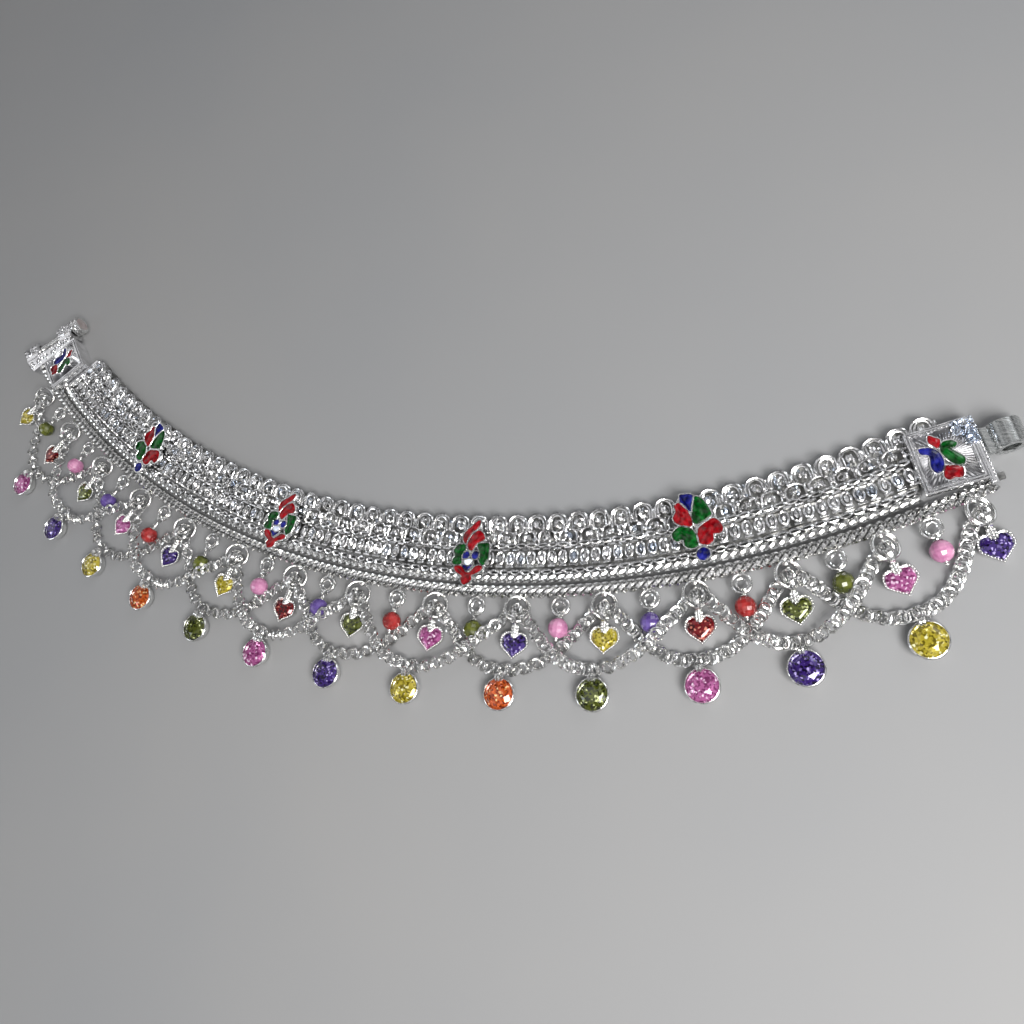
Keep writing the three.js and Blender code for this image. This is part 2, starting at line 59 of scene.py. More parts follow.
MM = 0.001
UP = Vector((0, 0, 1))
MID_RADIUS = 199.45

# Band
LEFT_END, RIGHT_END = -31.05, 34.9
LEFT_OUTER_END, RIGHT_OUTER_END = -31.8, 32.6
COLUMNS = 51
PITCH = (RIGHT_END - LEFT_END) / COLUMNS
BASE_TOP = 1.5
BASE_OUTER, TONGUE_INNER = 202.4, 192.6
SCALLOP = ((0.0, 191.7), (0.25, 191.1), (0.5, 190.95), (0.75, 191.1))
EDGE_ROW, SECOND_ROW, OVAL_ROW = 192.55, 195.5, 199.75
BAR_ROWS, FLAT_BAR_ROWS = (197.15, 202.65), (198.0, 201.5)
FACET_ROWS = (191.9, 193.6, 194.7, 196.2)
LINK_LEAN = 9
BLUE_GLINT_SHARE = 0.22

# Jump rings and chains
BIG_RING = {"at": 210.2, "mean": 2.5, "height": 2.4, "tilt": 30}
SMALL_RING = {"at": 209.75, "mean": 1.75, "height": 1.9}
TIE_RADIUS = 208.0
ROPE_RADIUS, ROPE_HEIGHT = 203.95, 1.55
EDGE_RADIUS, EDGE_HEIGHT = 206.6, 1.45
EDGE_LEFT, EDGE_RIGHT = -35.05, 35.9
APEX_RADIUS = 210.47
DROP_GAP = 4.75
HALF_SPAN = 18.0
APEX_ROUNDING = 4.0
SAG = 2.4
SWAG_PITCH, SWAG_TILT, SWAG_ROLL = 1.5, 24, 20
BAIL = {"shift": 1.41, "inner": 1.92, "outer": 2.35, "height": 2.4}

# The big rings from right to left: the ring's angle, how far its heart hangs below it and swings
# sideways, the same for the bead on its left, and the round drop's angle and distance.
STATIONS = [
    (34.6, (4.3, -6), (2.6, -5), None),
    (30.2, (4.3, 4), (2.6, -2), (30.3, 227.4)),
    (25.6, (4.3, -4), (2.6, -5), (25.2, 226.9)),
    (21.0, (4.3, -3), (2.8, -6), (20.6, 226.9)),
    (16.2, (4.3, -6), (2.6, -10), (15.4, 226.9)),
    (11.3, (4.9, -5), (3.1, -2), (10.6, 227.0)),
    (6.3, (4.7, -2), (3.2, 0), (5.3, 227.9)),
    (1.1, (4.8, 4), (3.7, -4), (0.4, 228.3)),
    (-3.6, (5.6, -3), (3.4, 4), (-4.5, 228.9)),
    (-8.5, (5.6, -3), (4.2, 2), (-9.2, 229.4)),
    (-13.5, (5.8, -6), (4.8, -6), (-14.1, 229.9)),
    (-18.4, (6.2, -8), (4.4, -5), (-19.0, 230.9)),
    (-23.3, (6.4, -2), (3.9, 4), (-23.7, 231.0)),
    (-28.2, (6.4, -3), (3.8, 2), (-28.7, 230.0)),
    (-32.9, (6.0, -3), None, None),
]
HEART_COLOURS = ["violet", "pink", "olive", "red", "yellow"]
BEAD_COLOURS = ["pink", "olive", "red", "violet"]
DROP_COLOURS = ["yellow", "violet", "pink", "olive", "orange"]
HEART_WIDTH, HEART_STRETCH = 5.7, 1.1
BEAD_HEIGHT = 2.1


# places


def on_arc(angle, radius, z=0.0):
    a = math.radians(angle)
    return Vector((radius * math.sin(a), MID_RADIUS - radius * math.cos(a), z))


def turned(degrees, axis="Z"):
    return Matrix.Rotation(math.radians(degrees), 4, axis)


def moved(x, y, z=0.0):
    return Matrix.Translation((x, y, z))


def at(angle, radius, z=0.0, turn=0.0):
    """x runs along the band, y to its inner edge, z up."""
    return Matrix.Translation(on_arc(angle, radius, z)) @ turned(angle + turn)


def jitter(degrees):
    """A small random lean."""
    across = turned(chance.uniform(-degrees, degrees), "X")
    return across @ turned(chance.uniform(-degrees, degrees), "Y")


def polar(radius, a, z=0.0):
    return Vector((radius * math.cos(a), radius * math.sin(a), z))


# meshes


class Pile:
    """Corners and faces of one mesh, added shape by shape."""

    def __init__(self):
        self.corners = []
        self.faces = []
        self.materials = []

    def add(self, shape, place=None, material=0):
        corners, faces = shape
        first = len(self.corners)
        if place is None:
            self.corners.extend(corners)
        else:
            self.corners.extend([place @ corner for corner in corners])
        self.faces.extend([[first + i for i in face] for face in faces])
        self.materials.extend([material] * len(faces))

    def build(self, name, materials, body="root", slot=None, crease=38, nodes=()):
        mesh = bpy.data.meshes.new(name)
        mesh.from_pydata([corner * MM for corner in self.corners], [], self.faces)
        for material in materials:
            mesh.materials.append(material)
        mesh.polygons.foreach_set("material_index", self.materials)
        mesh.polygons.foreach_set("use_smooth", [crease > 0] * len(self.faces))
        if crease > 0:
            mesh.set_sharp_from_angle(angle=math.radians(crease))
        mesh.update()
        piece = bpy.data.objects.new(name, mesh)
        bpy.context.scene.collection.objects.link(piece)
        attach(piece, body)
        if nodes:
            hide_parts(*nodes)


def bands(rings, count, closed=False):
    """The faces between neighbouring rings of count corners each."""
    faces = []
    for k in range(rings if closed else rings - 1):
        low, high = k * count, (k + 1) % rings * count
        for s in range(count):
            t = (s + 1) % count
            faces.append((low + s, low + t, high + t, high + s))
    return faces


def flipped(faces):
    return [(a, d, c, b) for a, b, c, d in faces]


def wire(path, radius, sides=6, closed=True):
    """A wire along a path that lies mostly flat."""
    count = len(path)
    corners = []
    for k, point in enumerate(path):
        before = path[k - 1] if closed or k > 0 else point
        after = path[(k + 1) % count] if closed or k < count - 1 else point
        along = (after - before).normalized()
        side = along.cross(UP).normalized()
        up = side.cross(along)
        for s in range(sides):
            a = 2 * math.pi * (s + 0.5) / sides
            corners.append(point + side * (radius * math.cos(a)) + up * (radius * math.sin(a)))
    faces = flipped(bands(count, sides, closed))
    if not closed:
        faces.append(tuple(range(sides)))
        faces.append(tuple(reversed(range((count - 1) * sides, count * sides))))
    return corners, faces


def ellipse(long, wide, count):
    loop = []
    for k in range(count):
        t = 2 * math.pi * k / count
        loop.append(Vector((long * math.cos(t), wide * math.sin(t), 0)))
    return loop


def lathe(profile, sides):
    """A solid of revolution round z, from (radius, height) pairs, lowest first."""
    corners = []
    rings = []
    for radius, height in profile:
        ring = []
        for s in range(sides if radius > 0 else 1):
            a = 2 * math.pi * s / sides
            ring.append(len(corners))
            corners.append(polar(radius, a, height))
        rings.append(ring)
    faces = []
    if len(rings[0]) > 1:
        faces.append(tuple(reversed(rings[0])))
    if len(rings[-1]) > 1:
        faces.append(tuple(rings[-1]))
    for low, high in zip(rings, rings[1:]):
        for s in range(sides):
            t = (s + 1) % sides
            if len(low) == 1:
                faces.append((low[0], high[t], high[s]))
            elif len(high) == 1:
                faces.append((low[s], low[t], high[0]))
            else:
                faces.append((low[s], low[t], high[t], high[s]))
    return corners, faces


def ball(radius, sides=8, rings=5, squash=(1, 1, 1)):
    profile = []
    for k in range(rings + 1):
        a = math.pi * k / rings - math.pi / 2
        profile.append((radius * math.cos(a) if 0 < k < rings else 0, radius * math.sin(a)))
    corners, faces = lathe(profile, sides)
    return [Vector((c.x * squash[0], c.y * squash[1], c.z * squash[2])) for c in corners], faces


def signed_area(outline):
    return sum(a.x * b.y - b.x * a.y for a, b in zip(outline, outline[1:] + outline[:1])) / 2


def closed_curve(points, steps=5):
    """A smooth closed outline through its points, anticlockwise."""
    points = [Vector((x, y, 0)) for x, y in points]
    count = len(points)
    outline = []
    for k in range(count):
        a, b, c, d = (points[(k + i) % count] for i in (-1, 0, 1, 2))
        for step in range(steps):
            t = step / steps
            square = 2 * a - 5 * b + 4 * c - d
            cubic = 3 * b - a - 3 * c + d
            outline.append(0.5 * (2 * b + (c - a) * t + square * t * t + cubic * t**3))
    return outline if signed_area(outline) > 0 else outline[::-1]


def grown(outline, amount):
    """The outline moved outwards, or inwards where the amount is negative."""
    count = len(outline)
    result = []
    for k, point in enumerate(outline):
        along = outline[(k + 1) % count] - outline[k - 1]
        out = Vector((along.y, -along.x, 0)).normalized()
        result.append(point + out * amount)
    return result


def lifted(outline, z):
    return [Vector((p.x, p.y, z)) for p in outline]


def layered(outlines, bottom=True, top=True):
    """A body through outlines with equal counts, lowest first."""
    count = len(outlines[0])
    corners = [corner for outline in outlines for corner in outline]
    faces = []
    if bottom:
        faces.append(tuple(reversed(range(count))))
    if top:
        faces.append(tuple(range((len(outlines) - 1) * count, len(outlines) * count)))
    return corners, faces + bands(len(outlines), count)


def upright(shape):
    """A ring laid flat turned to stand across the band."""
    corners, faces = shape
    return [turned(90, "Y") @ corner for corner in corners], faces


def rectangle(x0, x1, y0, y1, z=0.0):
    return [Vector((x0, y0, z)), Vector((x1, y0, z)), Vector((x1, y1, z)), Vector((x0, y1, z))]


def box(x0, x1, y0, y1, z0, z1, bevel=0.12):
    """A block with bevelled upper edges."""
    foot = rectangle(x0, x1, y0, y1, z0)
    top = rectangle(x0 + bevel, x1 - bevel, y0 + bevel, y1 - bevel, z1)
    return layered([foot, lifted(foot, z1 - bevel), top])


def frame_bar(half_x, half_y, width, z0, z1):
    """A rectangular border whose section is a low ridge."""
    shoulder = z1 - 0.12
    outlines = []
    for share, z in ((0, z0), (0.15, shoulder), (0.35, z1), (0.65, z1), (0.85, shoulder), (1, z0)):
        x, y = half_x - width * share, half_y - width * share
        outlines.append(rectangle(-x, x, -y, y, z))
    return layered(outlines, bottom=False, top=False)


# materials


def new_material(name):
    material = bpy.data.materials.new(name)
    material.use_nodes = True
    nodes = material.node_tree.nodes
    return material, nodes, material.node_tree.links, nodes["Principled BSDF"]


def coloured(nodes, links, source, stops, target):
    """A value turned into a colour, by (value, colour) stops."""
    node = nodes.new("ShaderNodeValToRGB")
    elements = node.color_ramp.elements
    while len(elements) < len(stops):
        elements.new(0.5)
    for element, (place, colour) in zip(elements, stops):
        element.position = place
        element.color = (*colour, 1)
    links.new(source, node.inputs["Fac"])
    links.new(node.outputs["Color"], target)


def polished(shader, roughness, ior, coat, coat_roughness):
    shader.inputs["Roughness"].default_value = roughness
    shader.inputs["IOR"].default_value = ior
    shader.inputs["Coat Weight"].default_value = coat
    shader.inputs["Coat Roughness"].default_value = coat_roughness


def object_place(nodes):
    return nodes.new("ShaderNodeTexCoord").outputs["Object"]


def noise(nodes, links, scale, detail=2.0):
    node = nodes.new("ShaderNodeTexNoise")
    node.inputs["Scale"].default_value = scale
    node.inputs["Detail"].default_value = detail
    links.new(object_place(nodes), node.inputs["Vector"])
    return node.outputs["Fac"]


def span(nodes, links, source, low, high):
    node = nodes.new("ShaderNodeMapRange")
    node.inputs["To Min"].default_value = low
    node.inputs["To Max"].default_value = high
    links.new(source, node.inputs["Value"])
    return node.outputs["Result"]


def bumped(nodes, links, height, shader, strength, distance):
    node = nodes.new("ShaderNodeBump")
    node.inputs["Strength"].default_value = strength
    node.inputs["Distance"].default_value = distance
    links.new(height, node.inputs["Height"])
    links.new(node.outputs["Normal"], shader.inputs["Normal"])


def metal(name, dark, light, rough, grain=2600.0, bump=0.25):
    """Silver with faint cloudiness and fine dents that make it glitter."""
    material, nodes, links, shader = new_material(name)
    shader.inputs["Metallic"].default_value = 1.0
    cloud = noise(nodes, links, 420.0)
    coloured(nodes, links, cloud, [(0.32, dark), (0.62, light)], shader.inputs["Base Color"])
    fine = noise(nodes, links, grain, 3.0)
    links.new(span(nodes, links, fine, rough[0], rough[1]), shader.inputs["Roughness"])
    bumped(nodes, links, fine, shader, bump, 0.00012)
    return material


def brushed(name, dark, light, rough):
    """Silver strip with fine scratches along x."""
    material, nodes, links, shader = new_material(name)
    shader.inputs["Metallic"].default_value = 1.0
    stretch = nodes.new("ShaderNodeMapping")
    stretch.inputs["Rotation"].default_value = (0, 0, math.radians(-27))
    stretch.inputs["Scale"].default_value = (300.0, 5200.0, 3000.0)
    links.new(object_place(nodes), stretch.inputs["Vector"])
    lines = nodes.new("ShaderNodeTexNoise")
    lines.inputs["Scale"].default_value = 1.0
    links.new(stretch.outputs["Vector"], lines.inputs["Vector"])
    coloured(nodes, links, lines.outputs["Fac"], [(0.3, dark), (0.7, light)], shader.inputs["Base Color"])
    links.new(span(nodes, links, lines.outputs["Fac"], rough[0], rough[1]), shader.inputs["Roughness"])
    bumped(nodes, links, lines.outputs["Fac"], shader, 0.2, 0.00005)
    return material


def gem(name, deep, body, flash):
    """A cut stone: a mosaic of deep and bright flecks, painted shade and painted flashes of light inside its
    facets, under a polished skin.
    """
    material, nodes, links, shader = new_material(name)
    shader.inputs["Metallic"].default_value = 0.35
    polished(shader, 0.12, 1.6, 0.5, 0.03)
    flecks = nodes.new("ShaderNodeTexVoronoi")
    flecks.inputs["Scale"].default_value = 2600.0
    links.new(object_place(nodes), flecks.inputs["Vector"])
    parts = nodes.new("ShaderNodeSeparateColor")
    links.new(flecks.outputs["Color"], parts.inputs["Color"])
    # Deep flecks are painted shade, flash flecks painted highlights; the body colour is the stone's own.
    stops = [(0.15, deep), (0.5, body), (0.88, body), (0.985, flash)]
    coloured(nodes, links, parts.outputs["Red"], stops, shader.inputs["Base Color"])
    bumped(nodes, links, parts.outputs["Green"], shader, 0.5, 0.0003)
    return material


def bead_glass(name, deep, body):
    """An opaque polished bead, a little lighter in its middle cloud."""
    material, nodes, links, shader = new_material(name)
    polished(shader, 0.22, 1.6, 0.5, 0.12)
    cloud = noise(nodes, links, 700.0, 4.0)
    coloured(nodes, links, cloud, [(0.35, deep), (0.65, body)], shader.inputs["Base Color"])
    bumped(nodes, links, cloud, shader, 0.3, 0.0002)
    return material


def enamel(name, deep, body, bright):
    """Poured enamel, deeper where it is thick, with a glassy skin."""
    material, nodes, links, shader = new_material(name)
    polished(shader, 0.16, 1.45, 0.2, 0.05)
    cloud = noise(nodes, links, 950.0, 3.0)
    stops = [(0.36, deep), (0.52, body), (0.72, bright)]
    coloured(nodes, links, cloud, stops, shader.inputs["Base Color"])
    bumped(nodes, links, cloud, shader, 0.12, 0.0002)
    return material


SILVER = metal("silver_weave", (0.72, 0.72, 0.72), (0.97, 0.97, 0.98), (0.08, 0.3))
CHAIN = metal("silver_chain", (0.7, 0.7, 0.69), (0.96, 0.96, 0.95), (0.1, 0.24), 2600.0, 0.12)
CLASP = metal("silver_clasp", (0.72, 0.72, 0.73), (0.95, 0.95, 0.96), (0.12, 0.26), 1800.0, 0.1)
# Dark metal for every other flank of the plates' fine ridges: painted shade on one side of each ridge.
SHADED_FLANK = metal("silver_flank_painted_shade", (0.1, 0.1, 0.11), (0.3, 0.3, 0.31), (0.3, 0.45), 1800.0, 0.1)
# Bluish silver for the facets and grains that flash bluish: a painted bluish glint.
BLUE_GLINT_SILVER = metal("silver_painted_blue_glint", (0.55, 0.62, 0.74), (0.9, 0.94, 1.0), (0.05, 0.2), 1500.0, 0.5)
# Near-black metal laid under the links and on the clasp's nub where they sit in shade: painted shade.
SHADE = metal("silver_painted_shade", (0.12, 0.12, 0.115), (0.42, 0.42, 0.41), (0.25, 0.45), 1400.0, 0.6)
STRIP = brushed("silver_strip", (0.4, 0.42, 0.42), (0.76, 0.77, 0.76), (0.16, 0.36))
# Pinkish silver for the screw cap's face: a painted pink reflection.
CAP_PINK_REFLECTION = metal("silver_cap_face_painted_pink_reflection", (0.74, 0.63, 0.61), (0.88, 0.8, 0.79), (0.25, 0.42), 1200.0, 0.3)

GEMS = {
    "violet": gem("gem_violet", (0.006, 0.002, 0.025), (0.04, 0.016, 0.16), (0.55, 0.45, 0.9)),
    "pink": gem("gem_pink", (0.16, 0.02, 0.1), (0.4, 0.1, 0.28), (1.0, 0.75, 0.95)),
    "olive": gem("gem_olive", (0.01, 0.014, 0.002), (0.075, 0.09, 0.01), (0.7, 0.75, 0.35)),
    "red": gem("gem_red", (0.04, 0.001, 0.002), (0.17, 0.004, 0.007), (0.9, 0.35, 0.25)),
    "yellow": gem("gem_yellow", (0.13, 0.1, 0.004), (0.45, 0.37, 0.03), (1.0, 0.98, 0.6)),
    "orange": gem("gem_orange", (0.16, 0.015, 0.002), (0.55, 0.09, 0.01), (1.0, 0.75, 0.35)),
}
BEADS = {
    "violet": bead_glass("bead_violet", (0.06, 0.03, 0.17), (0.12, 0.075, 0.3)),
    "pink": bead_glass("bead_pink", (0.4, 0.14, 0.28), (0.58, 0.26, 0.42)),
    "olive": bead_glass("bead_olive", (0.03, 0.038, 0.004), (0.11, 0.125, 0.012)),
    "red": bead_glass("bead_red", (0.16, 0.006, 0.006), (0.36, 0.02, 0.018)),
}
ENAMELS = {
    "red": enamel("enamel_red", (0.1, 0.0, 0.002), (0.22, 0.001, 0.004), (0.34, 0.003, 0.009)),
    "green": enamel("enamel_green", (0.0, 0.018, 0.001), (0.0, 0.052, 0.005), (0.001, 0.11, 0.012)),
    "blue": enamel("enamel_blue", (0.001, 0.002, 0.04), (0.004, 0.006, 0.12), (0.015, 0.02, 0.28)),
    "pale": enamel("enamel_pale", (0.55, 0.62, 0.78), (0.75, 0.82, 0.95), (0.95, 0.97, 1.0)),
}


# the woven band


def arch(width, height, rise):
    """The path of an upright link: two legs and a round crown, seen from above."""
    path = [Vector((-width, -height, 0)), Vector((-width, -height * 0.3, rise * 0.3))]
    for k in range(9):
        a = math.pi * (1 - k / 8)
        crown = math.sin(a)
        path.append(Vector((width * math.cos(a), height * (0.1 + 0.9 * crown), rise * (0.4 + 0.6 * crown))))
    path += [Vector((width, -height * 0.3, rise * 0.3)), Vector((width, -height, 0))]
    return path


ARCH_OUTER = wire(arch(1.85, 1.75, 0.5), 0.23, 6, closed=False)
ARCH_INNER = wire(arch(1.3, 1.4, 0.45), 0.2, 5, closed=False)
KNOB = ball(1.0, 7, 5, (0.62, 0.95, 0.8))
BIT = ball(1.0, 5, 3, (0.5, 0.3, 0.3))
LOOP = wire(ellipse(0.72, 0.72, 10), 0.25, 6)
SPUR = wire([Vector((0, -0.9, 0)), Vector((0, 0, 0.3)), Vector((0, 0.9, 0))], 0.27, 5, closed=False)
OVAL = wire(ellipse(0.82, 1.3, 12), 0.24, 6)
OVAL_CORE = ball(1.0, 6, 4, (0.52, 0.98, 0.78))
BAR = wire(ellipse(0.98, 0.42, 10), 0.22, 5)
FLAT_BAR = box(-0.8, 0.8, -0.22, 0.22, -0.5, 0.25, 0.1)


def left_edge(radius):
    """The angle of the band's left end, which is slanted."""
    innermost, depth = 191.0, 11.5
    return LEFT_END + (LEFT_OUTER_END - LEFT_END) * (radius - innermost) / depth


def plate_edge(radius):
    """The angle of the right plate's near edge, which is slanted too."""
    outermost, angle, slant = 203.4, 32.75, 0.029
    return angle + slant * (outermost - radius)


def in_band(angle, radius, margin):
    """Whether a link has room here. The innermost row runs on under the right plate."""
    right = RIGHT_END if radius < 193 else plate_edge(radius) + 0.3
    return left_edge(radius) + margin < angle < right - margin


def weave_base():
    """The dark ground under the links, painted shade for the gaps between them, which follows the band's
    outline.
    """
    steps = 60
    width = plate_edge(BASE_OUTER) - LEFT_OUTER_END
    outline = [on_arc(LEFT_OUTER_END + width * k / steps, BASE_OUTER) for k in range(steps + 1)]
    outline += [on_arc(plate_edge(TONGUE_INNER), TONGUE_INNER), on_arc(RIGHT_END, TONGUE_INNER)]
    for column in range(COLUMNS):
        start = RIGHT_END - column * PITCH
        for share, radius in SCALLOP:
            outline.append(on_arc(start - share * PITCH, radius))
    outline.append(on_arc(LEFT_END, SCALLOP[0][1]))
    pile = Pile()
    pile.add(layered([outline, lifted(outline, BASE_TOP)]))
    pile.build("weave_ground", [SHADE], slot="silver", crease=30, nodes=["band_weave"])


def glint():
    """Now and then a facet is given the bluish silver, a painted bluish glint."""
    return 1 if chance.random() < BLUE_GLINT_SHARE else 0


def edge_arches(wires, knobs, angle):
    """Upright links along the scalloped edge, one in each column."""
    place = at(angle - PITCH / 4, EDGE_ROW, 2.1) @ jitter(LINK_LEAN)
    wires.add(ARCH_OUTER, place)
    wires.add(ARCH_INNER, place @ moved(0, -0.15, 0.2))
    knobs.add(KNOB, place @ moved(-0.42, -0.2, 0.0) @ jitter(22), glint())
    wires.add(LOOP, place @ moved(0.4, -0.4, 0.15) @ turned(chance.uniform(35, 75), "Y"))
    wires.add(SPUR, at(angle + PITCH / 4, 192.9, 2.1, chance.uniform(-25, 25)) @ jitter(LINK_LEAN))


def second_arches(wires, knobs, angle):
    """Lower links between the columns of the first row."""
    place = at(angle - PITCH / 4, SECOND_ROW, 2.0) @ jitter(LINK_LEAN) @ Matrix.Diagonal((0.98, 0.8, 1, 1))
    wires.add(ARCH_OUTER, place)
    knobs.add(KNOB, place @ moved(0.35, 0.0, 0.1) @ jitter(22), glint())
    wires.add(LOOP, place @ moved(-0.55, -0.1, 0.2) @ turned(chance.uniform(-75, -35), "Y"))
    wires.add(LOOP, at(angle + PITCH / 4, 195.3, 2.3) @ turned(chance.uniform(40, 90), "Y"))


def loose_facets(knobs, angle):
    """Small facets caught between the arches."""
    for radius in FACET_ROWS:
        spread = chance.uniform(-0.45, 0.45) * PITCH / 2
        bit = at(angle + spread, radius + chance.uniform(-0.3, 0.3), chance.uniform(2.3, 2.75))
        knobs.add(BIT, bit @ turned(chance.uniform(0, 180)) @ jitter(45), glint())


def outer_rows(wires, knobs, angle):
    """Bars, ovals and bars again, towards the rope."""
    if in_band(angle, 197.5, 0.1):
        wires.add(BAR, at(angle, BAR_ROWS[0], 2.3) @ jitter(LINK_LEAN))
        knobs.add(FLAT_BAR, at(angle - PITCH / 4, FLAT_BAR_ROWS[0], 2.4) @ jitter(LINK_LEAN + 5))
    if in_band(angle, 199.8, 0.1):
        place = at(angle, OVAL_ROW, 2.2) @ jitter(LINK_LEAN)
        wires.add(OVAL, place)
        knobs.add(OVAL_CORE, place @ moved(0, 0, 0.05) @ jitter(14), glint())
    if in_band(angle, 202.0, 0.1):
        knobs.add(FLAT_BAR, at(angle, FLAT_BAR_ROWS[1], 2.4) @ jitter(LINK_LEAN + 5))
        wires.add(BAR, at(angle - PITCH / 4, BAR_ROWS[1], 2.2) @ jitter(LINK_LEAN))


def end_bar():
    """The flat bar that closes the weave at its left end."""
    inner, outer, width = 191.6, 202.5, 0.25
    corners = ((inner, 0), (outer, 0), (outer, width), (inner, width))
    outline = [on_arc(left_edge(radius) + shift, radius) for radius, shift in corners]
    if signed_area(outline) < 0:
        outline.reverse()
    return layered([outline, lifted(outline, 2.7), lifted(grown(outline, -0.15), 2.95)])


def weave_links():
    """The rows from right to left, half a column at a time."""
    wires, knobs = Pile(), Pile()
    for half in range(2 * COLUMNS + 3):
        angle = RIGHT_END - (half + 0.5) * PITCH / 2
        if half % 2 == 0 and in_band(angle, 192.5, 0.3):
            edge_arches(wires, knobs, angle)
        if half % 2 == 1 and in_band(angle, 195.3, 0.3):
            second_arches(wires, knobs, angle)
        if in_band(angle, 194.0, 0.2):
            loose_facets(knobs, angle)
        outer_rows(wires, knobs, angle)
    wires.add(end_bar())
    wires.build("weave_links", [SILVER], slot="silver")
    knobs.build("weave_knobs", [SILVER, BLUE_GLINT_SILVER], slot="silver", crease=0)


weave_base()
weave_links()


def strands(radius, height, left, right, count, helix, wire_radius, pitch, steps, sides=6):
    """Wires twisted round each other along the arc."""
    length = math.radians(right - left) * radius
    turns = length / pitch
    total = int(turns * steps)
    pile = Pile()
    for strand in range(count):
        path = []
        for k in range(total + 1):
            share = k / total
            a = 2 * math.pi * (turns * share + strand / count)
            angle = left + (right - left) * share
            path.append(on_arc(angle, radius + helix * math.cos(a), height + helix * math.sin(a)))
        pile.add(wire(path, wire_radius, sides, closed=False))
    return pile


rope = strands(ROPE_RADIUS, ROPE_HEIGHT, LEFT_OUTER_END, RIGHT_OUTER_END, 3, 0.5, 0.42, 5.4, 14)
rope.build("rope_strands", [CHAIN], slot="chain", crease=50, nodes=["rope_line"])


# edge chain and jump rings


def big_ring(pile, angle):
    """Two tilted hoops side by side, and the link that ties them to the chain."""
    place = at(angle, BIG_RING["at"], BIG_RING["height"]) @ turned(BIG_RING["tilt"], "Y")
    hoop = wire(ellipse(BIG_RING["mean"], BIG_RING["mean"], 28), 0.27, 8)
    for z in (0.24, -0.24):
        pile.add(hoop, place @ moved(0, 0, z))
    pile.add(ball(0.75, 8, 5, (1, 0.8, 0.8)), at(angle, TIE_RADIUS, 1.9))


def small_ring(pile, angle):
    """Two flat hoops, a smaller loose one in them, and their tie."""
    place = at(angle, SMALL_RING["at"], SMALL_RING["height"])
    hoop = wire(ellipse(SMALL_RING["mean"], SMALL_RING["mean"], 24), 0.24, 8)
    for z in (0.14, -0.16):
        pile.add(hoop, place @ moved(0, 0, z))
    pile.add(wire(ellipse(1.0, 1.15, 18), 0.2, 6), place @ moved(0.05, -0.2, 0.15) @ jitter(12))
    pile.add(ball(0.6, 8, 5, (1, 0.8, 0.8)), at(angle, TIE_RADIUS, 1.7))


def edge_chain():
    pile = strands(EDGE_RADIUS, EDGE_HEIGHT, EDGE_LEFT, EDGE_RIGHT, 4, 0.93, 0.44, 6.8, 14, 7)
    for station, following in zip(STATIONS, STATIONS[1:]):
        big_ring(pile, station[0])
        small_ring(pile, (station[0] + following[0]) / 2)
    big_ring(pile, STATIONS[-1][0])
    pile.build("edge_links", [CHAIN], slot="chain", crease=50, nodes=["edge_chain"])


edge_chain()


# swag chains


def swag_radius(distance, low_radius):
    def rounded(s):
        return math.hypot(s, APEX_ROUNDING) - APEX_ROUNDING

    share = rounded(distance) / rounded(HALF_SPAN)
    depth = 1 - (1 - share) ** SAG
    return APEX_RADIUS + (low_radius - APEX_RADIUS) * depth


def swag_height(distance, side, arched):
    """The height over the surface, smooth between the places where the chains pass over or under."""
    low, over, hump, middle = 1.2, 3.3, 3.65, 2.5
    stops = [(0, middle), (2.8, low if side == "left" else over)]
    if arched:
        stops += [(6.3, hump), (11.5, hump)]
    else:
        stops += [(6.3, low), (11.5, low)]
    stops.append((HALF_SPAN, low))
    for (x0, z0), (x1, z1) in zip(stops, stops[1:]):
        if distance <= x1:
            t = (distance - x0) / (x1 - x0)
            return z0 + (z1 - z0) * t * t * (3 - 2 * t)
    return low


def swag_path(first, arched):
    path = []
    steps = 36
    for k in range(first, len(STATIONS) - 2, 2):
        low = STATIONS[k + 1]
        for side, ring in (("left", STATIONS[k][0]), ("right", STATIONS[k + 2][0])):
            half = []
            for step in range(steps + 1):
                distance = HALF_SPAN * step / steps
                angle = ring + (low[3][0] - ring) * step / steps
                radius = swag_radius(distance, low[3][1] - DROP_GAP)
                half.append(on_arc(angle, radius, swag_height(distance, side, arched)))
            if side == "right":
                half.reverse()
            path += half if not path else half[1:]
    return path


def evenly(path, pitch):
    """Points and directions at equal steps along a path."""
    lengths = [0.0]
    for a, b in zip(path, path[1:]):
        lengths.append(lengths[-1] + (b - a).length)
    count = round(lengths[-1] / pitch)
    result = []
    k = 0
    for step in range(count + 1):
        goal = lengths[-1] * step / count
        while k < len(path) - 2 and lengths[k + 1] < goal:
            k += 1
        t = (goal - lengths[k]) / (lengths[k + 1] - lengths[k])
        result.append((path[k].lerp(path[k + 1], t), (path[k + 1] - path[k]).normalized()))
    return result


def swag_chain(name, first, arched):
    """Round links that overlap like scales, each leaning on the next and through the last."""
    link = wire(ellipse(1.3, 1.18, 16), 0.24, 7)
    thin = wire(ellipse(1.0, 0.95, 14), 0.16, 5)
    pile = Pile()
    for index, (point, along) in enumerate(evenly(swag_path(first, arched), SWAG_PITCH)):
        side = UP.cross(along).normalized()
        up = along.cross(side)
        axes = Matrix((along, side, up)).transposed().to_4x4()
        roll = turned((SWAG_ROLL if index % 2 else -SWAG_ROLL) + chance.uniform(-6, 6), "X")
        tilt = turned(SWAG_TILT + chance.uniform(-5, 5), "Y")
        place = Matrix.Translation(point) @ axes @ roll @ tilt
        pile.add(link, place)
        pile.add(thin, place @ moved(0.3, 0, -0.16))
    pile.build(name + "_links", [CHAIN], slot="chain", crease=50, nodes=[name])


swag_chain("swag_chain_even", 0, False)
swag_chain("swag_chain_odd", 1, True)


# charms


